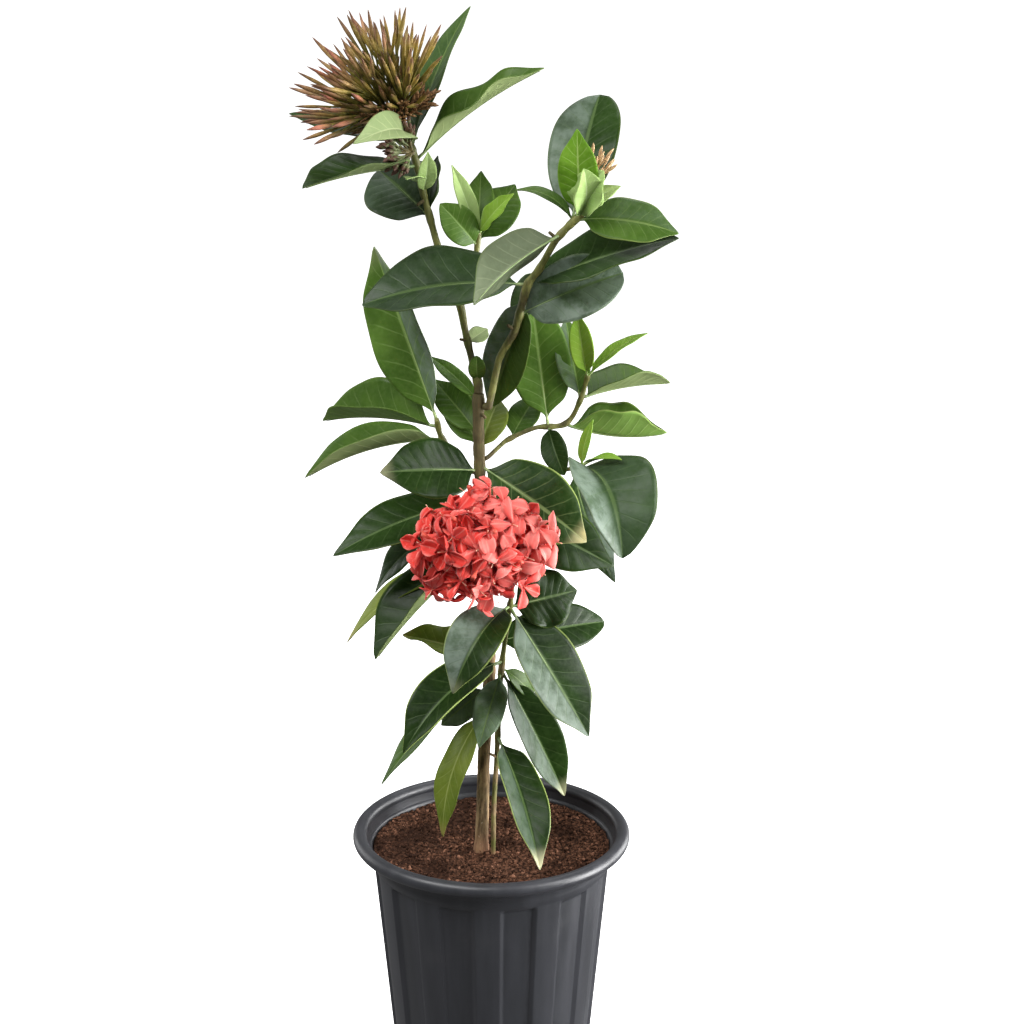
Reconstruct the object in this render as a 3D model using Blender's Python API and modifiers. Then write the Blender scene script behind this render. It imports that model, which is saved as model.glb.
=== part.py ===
"""Potted flowering shrub: pot, soil, stems with their leaves, bloom and bud heads.

Metres, +Z up, origin at the centre of the pot's underside. The front of the
plant, where the bloom is, looks along -Y.
"""
import math
import random
from collections import namedtuple

import bmesh
import bpy
from mathutils import Matrix, Vector

MM = 0.001
SEAT_GAP = 0.0003

# Pot, turned, with flutes in its wall
POT_SIDES = 48
RIM_RADIUS = 0.095
RIM_ROLL = 0.005
RIM_HEIGHT = 0.195
RIM_ARC = range(200, -110, -40)
WALL_FOOT_RADIUS = 0.069
WALL_TOP_RADIUS = 0.086
WALL_TOP_HEIGHT = 0.185
WALL_THICKNESS = 0.0020
NECK_HEIGHT = 0.182
BAND_TOP = 0.186
BAND_FOOT = 0.177
FLOOR_THICKNESS = 0.003
FOOT_CHAMFER = 0.002
FLUTE_HEAD = 0.171
FLUTE_FOOT = 0.003
FLUTE_INNER_HEAD = 0.168
FLUTE_DEPTH = 0.0022
FLUTE_COUNT = 12
FLUTE_TURNS = (1.0, 14.0, 16.0, 29.0)
FLUTE_PUSHED_IN = (2, 3)
FLUTE_PHASE = -99.2

# Soil, one plug that fills the pot
SOIL_SIDES = 36
SOIL_LEVEL = 0.185
SOIL_DIP = 0.001
SOIL_RING_RADII = (0.024, 0.055)
SOIL_SWELL = 0.0016
SOIL_WAVES = (72.0, 88.0)
SOIL_MOUND = 0.0025
SOIL_MOUND_REACH = 0.012
SOIL_EDGE_RADIUS = 0.0853
HOLE_SIDES = 12
HOLE_OVERSHOOT = 0.010

# Leaf blade
BLADE_THICKNESS = 0.0009
BLADE_STATIONS = (0.0, 0.08, 0.22, 0.44, 0.67, 0.87, 1.0)
SMALL_BLADE_STATIONS = (0.0, 0.10, 0.32, 0.62, 0.86, 1.0)
SMALL_BLADE_LENGTH = 0.050
PETIOLE_SHARE = 0.05
PETIOLE_HALF_WIDTH = 0.0013
TIP_HALF_WIDTH = 0.0006
WIDEST_LEAN = 0.92
FULLNESS = 0.66

# Bloom
BLOOM_CENTRE = Vector((-0.007, -0.052, 0.427))
BLOOM_REACH = Vector((0.050, 0.030, 0.043))
BLOOM_HUB = Vector((0.002, -0.045, 0.418))
BLOOM_AXIS = Vector((0.0, -0.92, 0.40))
BLOOM_SPREAD = 0.42
BLOOM_CORE = 0.70
BLOOM_STALK = 0.006
BLOOM_STALK_RADIUS = 0.0018
FLORET_COUNT = 26
FLORET_DEPTHS = (1.0, 0.88, 0.94)
FLORET_DROOPS = (0.10, 0.25, 0.40)
FLORET_SIZES = (0.88, 1.08)
FLORET_EYE = 0.0012
FLORET_TUBE_FOOT = 0.55
FLORET_TUBE_RADII = (0.0010, 0.0015)
PETAL_LENGTH = 0.0130
PETAL_WIDEST = 0.0072
PETAL_HALF_WIDTH = 0.0048
PETAL_TIP_HALF_WIDTH = 0.0022
PETAL_THICKNESS = 0.0008

# Bud heads
BUD_LENGTH = 0.038
BUD_RADIUS = 0.0019
BUD_PROFILE = ((0.0, 1.0), (0.55, 0.93), (1.0, 0.70), (0.50, 0.0), (0.0, 0.0))
BUD_SIZES = (0.84, 1.1)
BUD_FOOT_RADIUS = 1.9
BUD_STALK_RADIUS = 1.25
SMALL_BUD_LENGTH = 0.015
SMALL_BUD_GIRTH = 0.62

# Stalks of each bud spray: the way they lean and their length in millimetres
HEAD_STALKS = (
    (-1.00, -0.35, 0.00, 26), (-1.00, -0.05, 0.30, 27), (-0.90, -0.65, 0.35, 24),
    (-0.80, -0.10, 0.60, 28), (-0.60, -0.60, 0.65, 26), (-0.45, 0.00, 0.95, 30),
    (-0.20, -0.45, 1.00, 29), (-0.05, 0.00, 1.00, 29), (0.15, -0.75, 0.70, 22),
    (0.35, -0.35, 0.85, 22),
)
RIGHT_STALKS = ((0.35, -0.25, 1.00, 22), (0.70, -0.25, 1.00, 20))

Leaf = namedtuple("Leaf", "name root tip width face bow fold")

# Stem axes as (x, y, z, radius) in millimetres, from the root end up
TRUNK = (
    (-7, -11, 132, 4.9), (-7, -11, 190, 4.9), (-6, -7, 222, 4.7), (-5, -2, 258, 4.6), (-2, 1, 293, 4.4),
    (-1, 3, 331, 4.2), (-2, 6, 370, 4.1), (-5, 7, 413, 4.0), (-7, 5, 453, 3.9), (-8, 2, 486, 3.7),
    (-8, 0, 508, 4.2), (-8, 0, 519, 3.8),
)
FRONT_SHOOT = (
    (1.5, -17, 142, 1.8), (1.5, -17, 190, 1.8), (2, -14, 222, 1.8), (4, -11, 258, 1.9), (6, -11, 296, 1.9),
    (7, -12, 320, 2.0), (10, -16, 347, 1.8), (13, -26, 373, 1.8), (15, -38, 390, 1.6),
    (15, -38, 396, 1.6),
)
LEFT_LEADER = (
    (-8, 0, 519.3, 3.2), (-8, 0, 525, 3.0), (-13, 1, 545, 2.4), (-17, 2, 563, 2.4), (-20, 2, 579, 3.0),
    (-29, 3, 603, 2.2), (-35, 3, 620, 2.5), (-43, 4, 650, 2.1), (-51, 4, 683, 2.3), (-58, 3, 694, 2.0),
    (-58, 3, 700, 2.0),
)
CENTRE_SHOOT = (
    (-18.6, 4.2, 582, 1.6), (-16.3, 6.1, 583, 1.6), (-10.5, 10.5, 599, 1.6), (-8, 13, 624, 1.7),
    (-8, 13, 630, 1.3),
)
RIGHT_LEADER = (
    (-4.1, -2.5, 511, 2.6), (-0.9, -4.6, 511, 2.6), (6, -9, 544, 2.4), (17, -17, 566, 2.8),
    (25, -26, 597, 2.7), (33, -30, 609, 2.2),
    (44, -35, 629, 2.3), (54, -38, 640, 2.2), (60, -40, 646, 2.2), (60, -40, 650, 2.0),
)
LEFT_BRANCH = (
    (-10.7, 6.5, 462, 1.6), (-13.2, 8.2, 462.5, 1.6), (-25, 16, 473, 1.8), (-34, 12, 486, 1.9),
    (-37, 6, 500, 1.5),
)
RIGHT_BRANCH = (
    (-4.2, 5.6, 472, 1.7), (-1.5, 7.4, 472.8, 1.6), (10, 15, 482, 1.6), (31, 18, 491, 1.6),
    (52, 18, 494, 1.8), (62, 16, 511, 1.6),
    (67, 14, 529, 1.5),
)
LOW_RIGHT_SHOOT = (
    (-3.4, 7.3, 452, 1.5), (-0.9, 9.0, 452, 1.5), (8, 11, 453, 1.5), (27, 8, 457, 1.4),
    (51, 1, 465, 1.4), (64, -6, 470, 1.5),
)

# Leaves of each stem in millimetres: root near the stem's axis, tip, full width,
# the way the upper face looks, rise of the midrib as a share of the length, and
# how far each half is folded up, in degrees
LEAVES = {
    "main_stem": (
        Leaf("e1", (-8, 4, 464), (-74, -30, 471), 45, (0.0, -0.85, 0.55), 0.05, 10),
        Leaf("e2", (-7, 5, 443), (-107, -28, 412), 40, (-0.1, -0.6, 0.8), 0.08, 12),
        Leaf("e3", (-5, 7, 420), (-80, -10, 380), 32, (-0.3, -0.35, 1.0), 0.20, 12),
        Leaf("e4", (-5, 7, 408), (-80, -22, 335), 58, (-0.58, -0.33, 0.75), 0.04, 43),
        Leaf("e5", (-4, 7, 398), (-103, 20, 333), 30, (-0.3, -0.3, 1.0), 0.12, 15),
        Leaf("e6", (-1, 3, 328), (-64, 28, 336), 34, (0.0, -0.4, 1.0), 0.02, 32),
        Leaf("d1", (-7, 4, 468), (66, -15, 418), 52, (0.1, -0.9, 0.45), 0.07, 8),
        Leaf("d2", (-7, 6, 441), (86, 0, 396), 48, (0.0, -0.8, 0.6), 0.05, 8),
        Leaf("g1", (-8, 0, 514), (-42, 25, 540), 14, (0.0, -0.5, 1.0), 0.05, 10),
        Leaf("g2a", (-8, 2, 490), (-40, 34, 522), 24, (0.2, -1.0, 0.3), 0.05, 10),
        Leaf("g2b", (-8, 3, 480), (-29, 42, 515), 28, (0.2, -1.0, 0.3), 0.05, 10),
        Leaf("g3a", (-8, 4, 478), (6, 44, 506), 26, (-0.2, -1.0, 0.5), 0.05, 10),
        Leaf("h2", (-1, 3, 338), (82, 46, 340), 36, (-0.35, -0.85, 0.40), 0.08, 12),
        Leaf("h6", (-1, 3, 318), (-78, -14, 238), 32, (-0.6, -0.2, 0.75), 0.04, 16),
        Leaf("h7", (-3, 2, 291), (-34, -34, 207), 23, (-0.5, -0.8, 0.3), 0.18, 8),
        Leaf("h8b", (-2, 2, 306), (-36, 14, 272), 22, (0.0, -0.8, 0.5), 0.08, 8),
    ),
    "front_shoot": (
        Leaf("h1", (14, -28, 375), (60, -8, 381), 42, (-0.1, -1.0, 0.35), 0.04, 8),
        Leaf("h3", (14, -28, 375), (68, -40, 285), 50, (0.60, -0.72, 0.33), 0.02, 16),
        Leaf("h4", (14, -28, 377), (-25, -68, 327), 41, (-0.44, -0.89, 0.15), 0.22, 24),
        Leaf("h5", (8, -13, 331), (-59, -66, 283), 41, (-0.66, -0.74, 0.12), 0.16, 30),
        Leaf("h8", (7, -12, 322), (-8, -46, 279), 22, (-0.1, -1.0, 0.3), 0.10, 8),
        Leaf("h9", (7, -12, 324), (53, 8, 220), 37, (0.42, -0.83, 0.35), 0.03, 30),
        Leaf("h10", (3, -12, 274), (34, -84, 205), 36, (0.43, -0.76, 0.49), 0.06, 32),
        Leaf("h11", (7, -12, 326), (31, 4, 296), 14, (0.2, -0.7, 0.6), 0.10, 8),
    ),
    "left_leader": (
        Leaf("l1", (-52, 4, 684), (-13, 46, 774), 40, (-0.85, -0.53, -0.07), 0.04, 13),
        Leaf("l2", (-48, 4, 676), (36, -4, 736), 42, (-0.92, -0.12, 0.36), 0.05, 34),
        Leaf("l3", (-53, 4, 687), (-137, 52, 703), 30, (0.0, -0.5, 1.0), 0.03, 10),
        Leaf("l4", (-53, 4, 688), (-85, -60, 692), 26, (-0.04, -0.91, 0.41), 0.19, 28),
        Leaf("l5", (-50, 4, 672), (-118, -58, 664), 53, (0.04, 0.00, 1.00), 0.03, 24),
        Leaf("l6", (-42, 4, 637), (-76, 40, 666), 54, (0.2, -1.0, 0.4), 0.05, 8),
        Leaf("l6b", (-41, 4, 640), (-35, 25, 677), 24, (-0.8, -0.5, 0.3), 0.05, 10),
        Leaf("l7", (-44, 4, 655), (-40, -14, 683), 12, (0.3, -1.0, 0.2), 0.08, 15),
        Leaf("l8", (-45, 4, 660), (-54, -22, 666), 11, (-0.2, -0.6, 0.8), 0.10, 10),
        Leaf("g4", (-15, 2, 554), (-2, 20, 560), 13, (0.0, -0.9, 0.5), 0.05, 8),
        Leaf("g5", (-8, 0, 528), (-9, -9, 547), 8, (0.0, -1.0, 0.3), 0.08, 8),
    ),
    "centre_shoot": (
        Leaf("s1", (-8, 13, 618), (-33, -2, 648), 24, (0.1, -1.0, 0.3), 0.08, 10),
        Leaf("s2", (-8, 13, 624), (-25, 2, 673), 14, (0.3, -1.0, 0.2), 0.05, 25),
        Leaf("s3", (-8, 13, 624), (-6, 34, 666), 20, (0.0, -1.0, 0.4), 0.05, 8),
        Leaf("s4", (-8, 13, 626), (16, -6, 655), 15, (-0.4, -0.8, 0.6), 0.05, 20),
        Leaf("s5", (-8, 13, 620), (17, 42, 656), 30, (-0.1, -1.0, 0.4), 0.05, 8),
    ),
    "right_leader": (
        Leaf("c1", (25, -26, 598), (-84, -26, 584), 62, (-0.05, -0.55, 0.83), 0.08, 20),
        Leaf("c2", (47, -36, 632), (-9, -92, 595), 42, (-0.80, 0.50, 0.10), 0.07, 36),
        Leaf("r1", (54, -38, 640), (73, 11, 718), 50, (-0.40, -0.91, 0.14), 0.06, 13),
        Leaf("r2", (59, -40, 646), (56, -56, 701), 27, (-0.15, -1.0, 0.1), 0.08, 14),
        Leaf("r3a", (58, -39, 644), (60, -64, 677), 16, (0.5, -1.0, 0.1), 0.14, 22),
        Leaf("r3b", (58, -39, 644), (73, -56, 675), 16, (-0.4, -1.0, 0.3), 0.14, 22),
        Leaf("r4", (57, -39, 643), (85, -36, 663), 15, (-0.5, -0.6, 0.8), 0.10, 12),
        Leaf("r5", (55, -38, 641), (17, -30, 660), 14, (0.0, -0.3, 1.0), 0.17, 14),
        Leaf("r6", (56, -38, 642), (122, -48, 634), 34, (0.1, -0.75, 0.65), 0.10, 8),
        Leaf("r7", (25, -26, 596), (123, -40, 630), 56, (-0.30, -0.40, 0.87), 0.04, 16),
        Leaf("r8", (19, -20, 577), (88, -24, 605), 46, (0.0, -0.93, 0.36), 0.12, 24),
        Leaf("r9", (23, -24, 592), (0, 10, 508), 34, (-0.45, -0.88, 0.1), -0.02, 10),
        Leaf("r11", (33, -30, 609), (16, 2, 566), 20, (0.0, -1.0, 0.1), -0.06, 8),
    ),
    "left_branch": (
        Leaf("f1", (-36, 8, 496), (-78, 10, 618), 52, (-0.53, -0.85, 0.05), 0.0, 32),
        Leaf("f2", (-36, 9, 494), (-120, 58, 487), 59, (0.08, -0.47, 0.88), 0.06, 55),
        Leaf("f3", (-33, 12, 484), (-126, -17, 464), 38, (0.33, -0.03, 0.94), 0.08, 58),
    ),
    "right_branch": (
        Leaf("m1", (67, 14, 528), (59, 4, 575), 18, (-0.2, -1.0, 0.2), 0.05, 22),
        Leaf("m2", (67, 14, 528), (108, 20, 557), 15, (-0.5, -0.3, 0.8), 0.08, 15),
        Leaf("m3", (63, 16, 513), (126, 45, 517), 54, (-0.32, -0.09, 0.94), 0.04, 32),
        Leaf("m4", (52, 18, 494), (123, 24, 486), 59, (0.01, 0.02, 1.00), -0.07, 56),
        Leaf("m5", (62, 16, 511), (52, 38, 565), 24, (0.0, -1.0, 0.2), 0.05, 8),
        Leaf("m6", (40, 18, 492), (28, 30, 582), 44, (0.0, -1.0, 0.1), -0.03, 14),
        Leaf("g3b", (14, 16, 484), (32, 44, 508), 22, (-0.2, -1.0, 0.5), 0.05, 8),
        Leaf("d3", (40, 18, 492), (51, -2, 462), 20, (-0.3, -1.0, 0.2), 0.08, 20),
    ),
    "low_right_shoot": (
        Leaf("n1a", (63, -5, 469), (70, -14, 504), 9, (-0.6, -0.8, 0.2), 0.08, 15),
        Leaf("n1b", (63, -5, 469), (88, -38, 482), 12, (0.0, -0.3, 1.0), 0.08, 18),
        Leaf("n2", (62, -5, 470), (88, -68, 422), 68, (0.31, -0.81, 0.49), 0.26, 34),
        Leaf("n3", (58, -3, 467), (89, 36, 373), 32, (0.2, -0.9, 0.3), -0.12, 8),
    ),
}


def clear_scene():
    for thing in list(bpy.data.objects):
        bpy.data.objects.remove(thing, do_unlink=True)


def new_collection(name):
    collection = bpy.data.collections.new(name)
    bpy.context.scene.collection.children.link(collection)
    return collection


def make_material(name, colour, roughness, metallic=0.0):
    material = bpy.data.materials.new(name)
    material.use_nodes = True
    shader = material.node_tree.nodes["Principled BSDF"]
    shader.inputs["Base Color"].default_value = (*colour, 1.0)
    shader.inputs["Roughness"].default_value = roughness
    shader.inputs["Metallic"].default_value = metallic
    return material


def new_object(name, mesh, collection, material):
    thing = bpy.data.objects.new(name, mesh)
    collection.objects.link(thing)
    mesh.materials.clear()
    mesh.materials.append(material)
    return thing


def apply_modifier(thing, modifier):
    bpy.ops.object.select_all(action="DESELECT")
    bpy.context.view_layer.objects.active = thing
    thing.select_set(True)
    bpy.ops.object.modifier_apply(modifier=modifier.name)


def face_outward(mesh):
    shape = bmesh.new()
    shape.from_mesh(mesh)
    bmesh.ops.recalc_face_normals(shape, faces=shape.faces)
    shape.to_mesh(mesh)
    shape.free()


def turned(name, profile, sides, collection, material):
    """Turn a profile of (radius, height) points about +Z."""
    mesh = bpy.data.meshes.new(name)
    shape = bmesh.new()
    points = [shape.verts.new((radius, 0.0, height)) for radius, height in profile]
    for lower, upper in zip(points, points[1:]):
        shape.edges.new((lower, upper))
    shape.to_mesh(mesh)
    shape.free()
    thing = new_object(name, mesh, collection, material)
    screw = thing.modifiers.new("turn", "SCREW")
    screw.angle = math.tau
    screw.steps = sides
    screw.render_steps = sides
    screw.use_merge_vertices = True
    screw.merge_threshold = 0.00005
    apply_modifier(thing, screw)
    face_outward(thing.data)
    return thing


def tube(name, path, collection, material):
    """A stem along (x, y, z, radius) points in millimetres, closed at both ends."""
    curve = bpy.data.curves.new(name, "CURVE")
    curve.dimensions = "3D"
    curve.bevel_depth = 1.0
    curve.bevel_resolution = 2
    curve.use_fill_caps = True
    spline = curve.splines.new("POLY")
    spline.points.add(len(path) - 1)
    for point, (x, y, z, radius) in zip(spline.points, path):
        point.co = (x * MM, y * MM, z * MM, 1.0)
        point.radius = radius * MM
    source = bpy.data.objects.new(name + "_axis", curve)
    collection.objects.link(source)
    bpy.context.view_layer.update()
    evaluated = source.evaluated_get(bpy.context.evaluated_depsgraph_get())
    mesh = bpy.data.meshes.new_from_object(evaluated)
    bpy.data.objects.remove(source, do_unlink=True)
    shape = bmesh.new()
    shape.from_mesh(mesh)
    bmesh.ops.remove_doubles(shape, verts=shape.verts, dist=0.00002)
    bmesh.ops.recalc_face_normals(shape, faces=shape.faces)
    shape.to_mesh(mesh)
    shape.free()
    return new_object(name, mesh, collection, material)


def nearest_on_axis(path, near):
    """The point of a stem's axis nearest to a given point, in metres."""
    near = Vector(near) * MM
    best = None
    for start, end in zip(path, path[1:]):
        a = Vector(start[:3]) * MM
        b = Vector(end[:3]) * MM
        share = (near - a).dot(b - a) / (b - a).length_squared
        point = a.lerp(b, min(max(share, 0.0), 1.0))
        if best is None or (point - near).length < (best - near).length:
            best = point
    return best


def half_width(share, width):
    """Half the blade's width at a share of its length, from petiole to pointed tip."""
    if share <= PETIOLE_SHARE:
        return PETIOLE_HALF_WIDTH
    along = (share - PETIOLE_SHARE) / (1.0 - PETIOLE_SHARE)
    swell = math.sin(math.pi * along ** WIDEST_LEAN) ** FULLNESS if along < 1.0 else 0.0
    floor = PETIOLE_HALF_WIDTH + (TIP_HALF_WIDTH - PETIOLE_HALF_WIDTH) * along
    return max(0.5 * width * swell, floor)


def blade(leaf, path, collection, material):
    """One leaf: a grid bent to the midrib, folded about it and made solid."""
    root = nearest_on_axis(path, leaf.root)
    tip = Vector(leaf.tip) * MM
    chord = tip - root
    length = chord.length
    along = chord.normalized()
    face = Vector(leaf.face)
    up = (face - along * face.dot(along)).normalized()
    side = along.cross(up)
    fold = math.radians(leaf.fold)
    stations = BLADE_STATIONS if length > SMALL_BLADE_LENGTH else SMALL_BLADE_STATIONS
    rows = len(stations) - 1
    shape = bmesh.new()
    bmesh.ops.create_grid(shape, x_segments=2, y_segments=rows, size=0.5)
    for vertex in shape.verts:
        across = round(vertex.co.x * 2.0)
        share = stations[round((vertex.co.y + 0.5) * rows)]
        half = half_width(share, leaf.width * MM)
        rise = leaf.bow * length * 4.0 * share * (1.0 - share)
        tilt = leaf.bow * 4.0 * (1.0 - 2.0 * share)
        local_up = (up - along * tilt).normalized()
        spine = root + chord * share + up * rise
        lift = abs(across) * half * math.sin(fold)
        vertex.co = spine + side * (across * half * math.cos(fold)) + local_up * lift
    bmesh.ops.triangulate(shape, faces=shape.faces)
    mesh = bpy.data.meshes.new(leaf.name)
    shape.to_mesh(mesh)
    shape.free()
    thing = new_object(leaf.name, mesh, collection, material)
    solid = thing.modifiers.new("thickness", "SOLIDIFY")
    solid.thickness = BLADE_THICKNESS
    solid.offset = 0.0
    apply_modifier(thing, solid)
    face_outward(thing.data)
    return thing


def fuse(target, pieces):
    """Unite repeated pieces with the body that carries them."""
    repeats = new_collection(target.name + "_repeats")
    for piece in pieces:
        for home in list(piece.users_collection):
            home.objects.unlink(piece)
        repeats.objects.link(piece)
    union = target.modifiers.new("fuse", "BOOLEAN")
    union.operation = "UNION"
    union.operand_type = "COLLECTION"
    union.collection = repeats
    union.solver = "MANIFOLD"
    apply_modifier(target, union)
    for piece in list(repeats.objects):
        bpy.data.objects.remove(piece, do_unlink=True)
    bpy.data.collections.remove(repeats)
    return target


def wall_radius(height):
    return WALL_FOOT_RADIUS + (WALL_TOP_RADIUS - WALL_FOOT_RADIUS) * height / WALL_TOP_HEIGHT


def build_pot(collection, material):
    """A turned pot with a rolled rim, then its wall pushed in between the ribs."""
    inset = WALL_THICKNESS + FLUTE_DEPTH
    profile = [
        (0.0, FLOOR_THICKNESS),
        (wall_radius(FLOOR_THICKNESS) - inset, FLOOR_THICKNESS),
        (wall_radius(FLUTE_INNER_HEAD) - inset, FLUTE_INNER_HEAD),
        (wall_radius(NECK_HEIGHT) - WALL_THICKNESS, NECK_HEIGHT),
    ]
    for degrees in RIM_ARC:
        turn = math.radians(degrees)
        rim_x = RIM_RADIUS + RIM_ROLL * math.cos(turn)
        rim_z = RIM_HEIGHT + RIM_ROLL * math.sin(turn)
        profile.append((rim_x, rim_z))
    for height in (BAND_TOP, BAND_FOOT, FLUTE_HEAD, FLUTE_FOOT):
        profile.append((wall_radius(height), height))
    profile.append((wall_radius(0.0) - FOOT_CHAMFER, 0.0))
    profile.append((0.0, 0.0))
    pot = turned("pot", profile, POT_SIDES, collection, material)
    step = math.tau / POT_SIDES
    for vertex in pot.data.vertices:
        radius = math.hypot(vertex.co.x, vertex.co.y)
        on_wall = radius > wall_radius(vertex.co.z) - 0.5 * MM
        if not on_wall or not FLUTE_FOOT - MM < vertex.co.z < FLUTE_HEAD + MM:
            continue
        place = round(math.atan2(vertex.co.y, vertex.co.x) / step)
        period = math.floor(place / len(FLUTE_TURNS)) * math.tau / FLUTE_COUNT
        turn = period + math.radians(FLUTE_TURNS[place % len(FLUTE_TURNS)])
        if place % len(FLUTE_TURNS) in FLUTE_PUSHED_IN:
            radius -= FLUTE_DEPTH
        vertex.co.x = radius * math.cos(turn)
        vertex.co.y = radius * math.sin(turn)
    pot.data.transform(Matrix.Rotation(math.radians(FLUTE_PHASE), 4, "Z"))
    return pot


def soil_height(x, y):
    """The uneven top: a shallow dish, wide swells, and a low mound round the stems."""
    radius = math.hypot(x, y)
    height = SOIL_LEVEL + SOIL_DIP * (2.0 * radius / SOIL_EDGE_RADIUS - 1.0)
    fade = 1.0 - (radius / SOIL_EDGE_RADIUS) ** 4
    height += fade * SOIL_SWELL * math.sin(x * SOIL_WAVES[0] + 0.8) * math.cos(y * SOIL_WAVES[1] - 0.5)
    away = min(math.hypot(x - path[0][0] * MM, y - path[0][1] * MM) for path in (TRUNK, FRONT_SHOOT))
    return height + SOIL_MOUND * math.exp(-(away / SOIL_MOUND_REACH) ** 2)


def build_soil(collection, material, cutters):
    """A plug of soil inside the pot, with a plain hole for each stem standing in it."""
    inset = WALL_THICKNESS + FLUTE_DEPTH + SEAT_GAP
    base = FLOOR_THICKNESS + SEAT_GAP
    rings = [(radius, SOIL_LEVEL) for radius in (0.0, *SOIL_RING_RADII, SOIL_EDGE_RADIUS)]
    profile = rings + [
        (wall_radius(NECK_HEIGHT) - WALL_THICKNESS - SEAT_GAP, NECK_HEIGHT),
        (wall_radius(FLUTE_INNER_HEAD) - inset, FLUTE_INNER_HEAD),
        (wall_radius(base) - inset, base),
        (0.0, base),
    ]
    soil = turned("soil", profile, SOIL_SIDES, collection, material)
    for vertex in soil.data.vertices:
        if vertex.co.z > NECK_HEIGHT + MM:
            vertex.co.z = soil_height(vertex.co.x, vertex.co.y)
    for path in (TRUNK, FRONT_SHOOT):
        x, y, foot, radius = path[0]
        depth = SOIL_LEVEL + HOLE_OVERSHOOT - (foot * MM - SEAT_GAP)
        bpy.ops.mesh.primitive_cylinder_add(
            vertices=HOLE_SIDES, radius=radius * MM + SEAT_GAP, depth=depth,
            location=(x * MM, y * MM, foot * MM - SEAT_GAP + depth / 2.0))
        cutter = bpy.context.object
        cutter.hide_render = True
        cutter.display_type = "WIRE"
        for home in list(cutter.users_collection):
            home.objects.unlink(cutter)
        cutters.objects.link(cutter)
        hole = soil.modifiers.new("stem_hole", "BOOLEAN")
        hole.operation = "DIFFERENCE"
        hole.object = cutter
        hole.solver = "EXACT"
        apply_modifier(soil, hole)
        bpy.data.objects.remove(cutter, do_unlink=True)
    return soil


def leafy_stem(name, path, collection, material):
    stem = tube(name, path, collection, material)
    leaves = [blade(leaf, path, collection, material) for leaf in LEAVES[name]]
    return fuse(stem, leaves)


def aim(direction, spin=0.0):
    """A rotation that turns +Z to a direction, after a spin about +Z."""
    turn = Vector(direction).to_track_quat("Z", "Y").to_matrix().to_4x4()
    return turn @ Matrix.Rotation(spin, 4, "Z")


def copy_piece(template, name, matrix, collection, material):
    mesh = template.copy()
    mesh.transform(matrix)
    return new_object(name, mesh, collection, material)


def floret_mesh(droop):
    """A four-petalled face: the cross left of a 5 by 5 grid, bent back at its arms."""
    shape = bmesh.new()
    bmesh.ops.create_grid(shape, x_segments=5, y_segments=5, size=2.5)
    corners = [face for face in shape.faces
               if min(abs(face.calc_center_median().x), abs(face.calc_center_median().y)) > 0.6]
    bmesh.ops.delete(shape, geom=corners, context="FACES")
    rings = {
        0.5: (FLORET_EYE, FLORET_EYE),
        1.5: (PETAL_WIDEST, PETAL_HALF_WIDTH),
        2.5: (PETAL_LENGTH, PETAL_TIP_HALF_WIDTH),
    }
    for vertex in shape.verts:
        x, y = vertex.co.x, vertex.co.y
        out, half = rings[round(max(abs(x), abs(y)), 1)]
        if abs(x) > abs(y):
            place = (math.copysign(out, x), math.copysign(half, y))
        else:
            place = (math.copysign(half, x), math.copysign(out, y))
        reach = out / PETAL_LENGTH
        vertex.co = (place[0], place[1], -droop * PETAL_LENGTH * reach * reach)
    bmesh.ops.triangulate(shape, faces=shape.faces)
    mesh = bpy.data.meshes.new("floret")
    shape.to_mesh(mesh)
    shape.free()
    return mesh


def floret_template(droop, collection, material):
    """A floret's face, looking along +Z."""
    face = new_object("floret_face", floret_mesh(droop), collection, material)
    solid = face.modifiers.new("thickness", "SOLIDIFY")
    solid.thickness = PETAL_THICKNESS
    solid.offset = 0.0
    apply_modifier(face, solid)
    face_outward(face.data)
    mesh = face.data
    bpy.data.objects.remove(face, do_unlink=True)
    return mesh


def tube_template():
    """A floret's slender tube of unit length, from its foot up along +Z."""
    foot, mouth = FLORET_TUBE_RADII
    bpy.ops.mesh.primitive_cone_add(vertices=5, radius1=foot, radius2=mouth, depth=1.0)
    stalk = bpy.context.object
    mesh = stalk.data
    mesh.transform(Matrix.Translation((0.0, 0.0, 0.5)))
    bpy.data.objects.remove(stalk, do_unlink=True)
    return mesh


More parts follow.
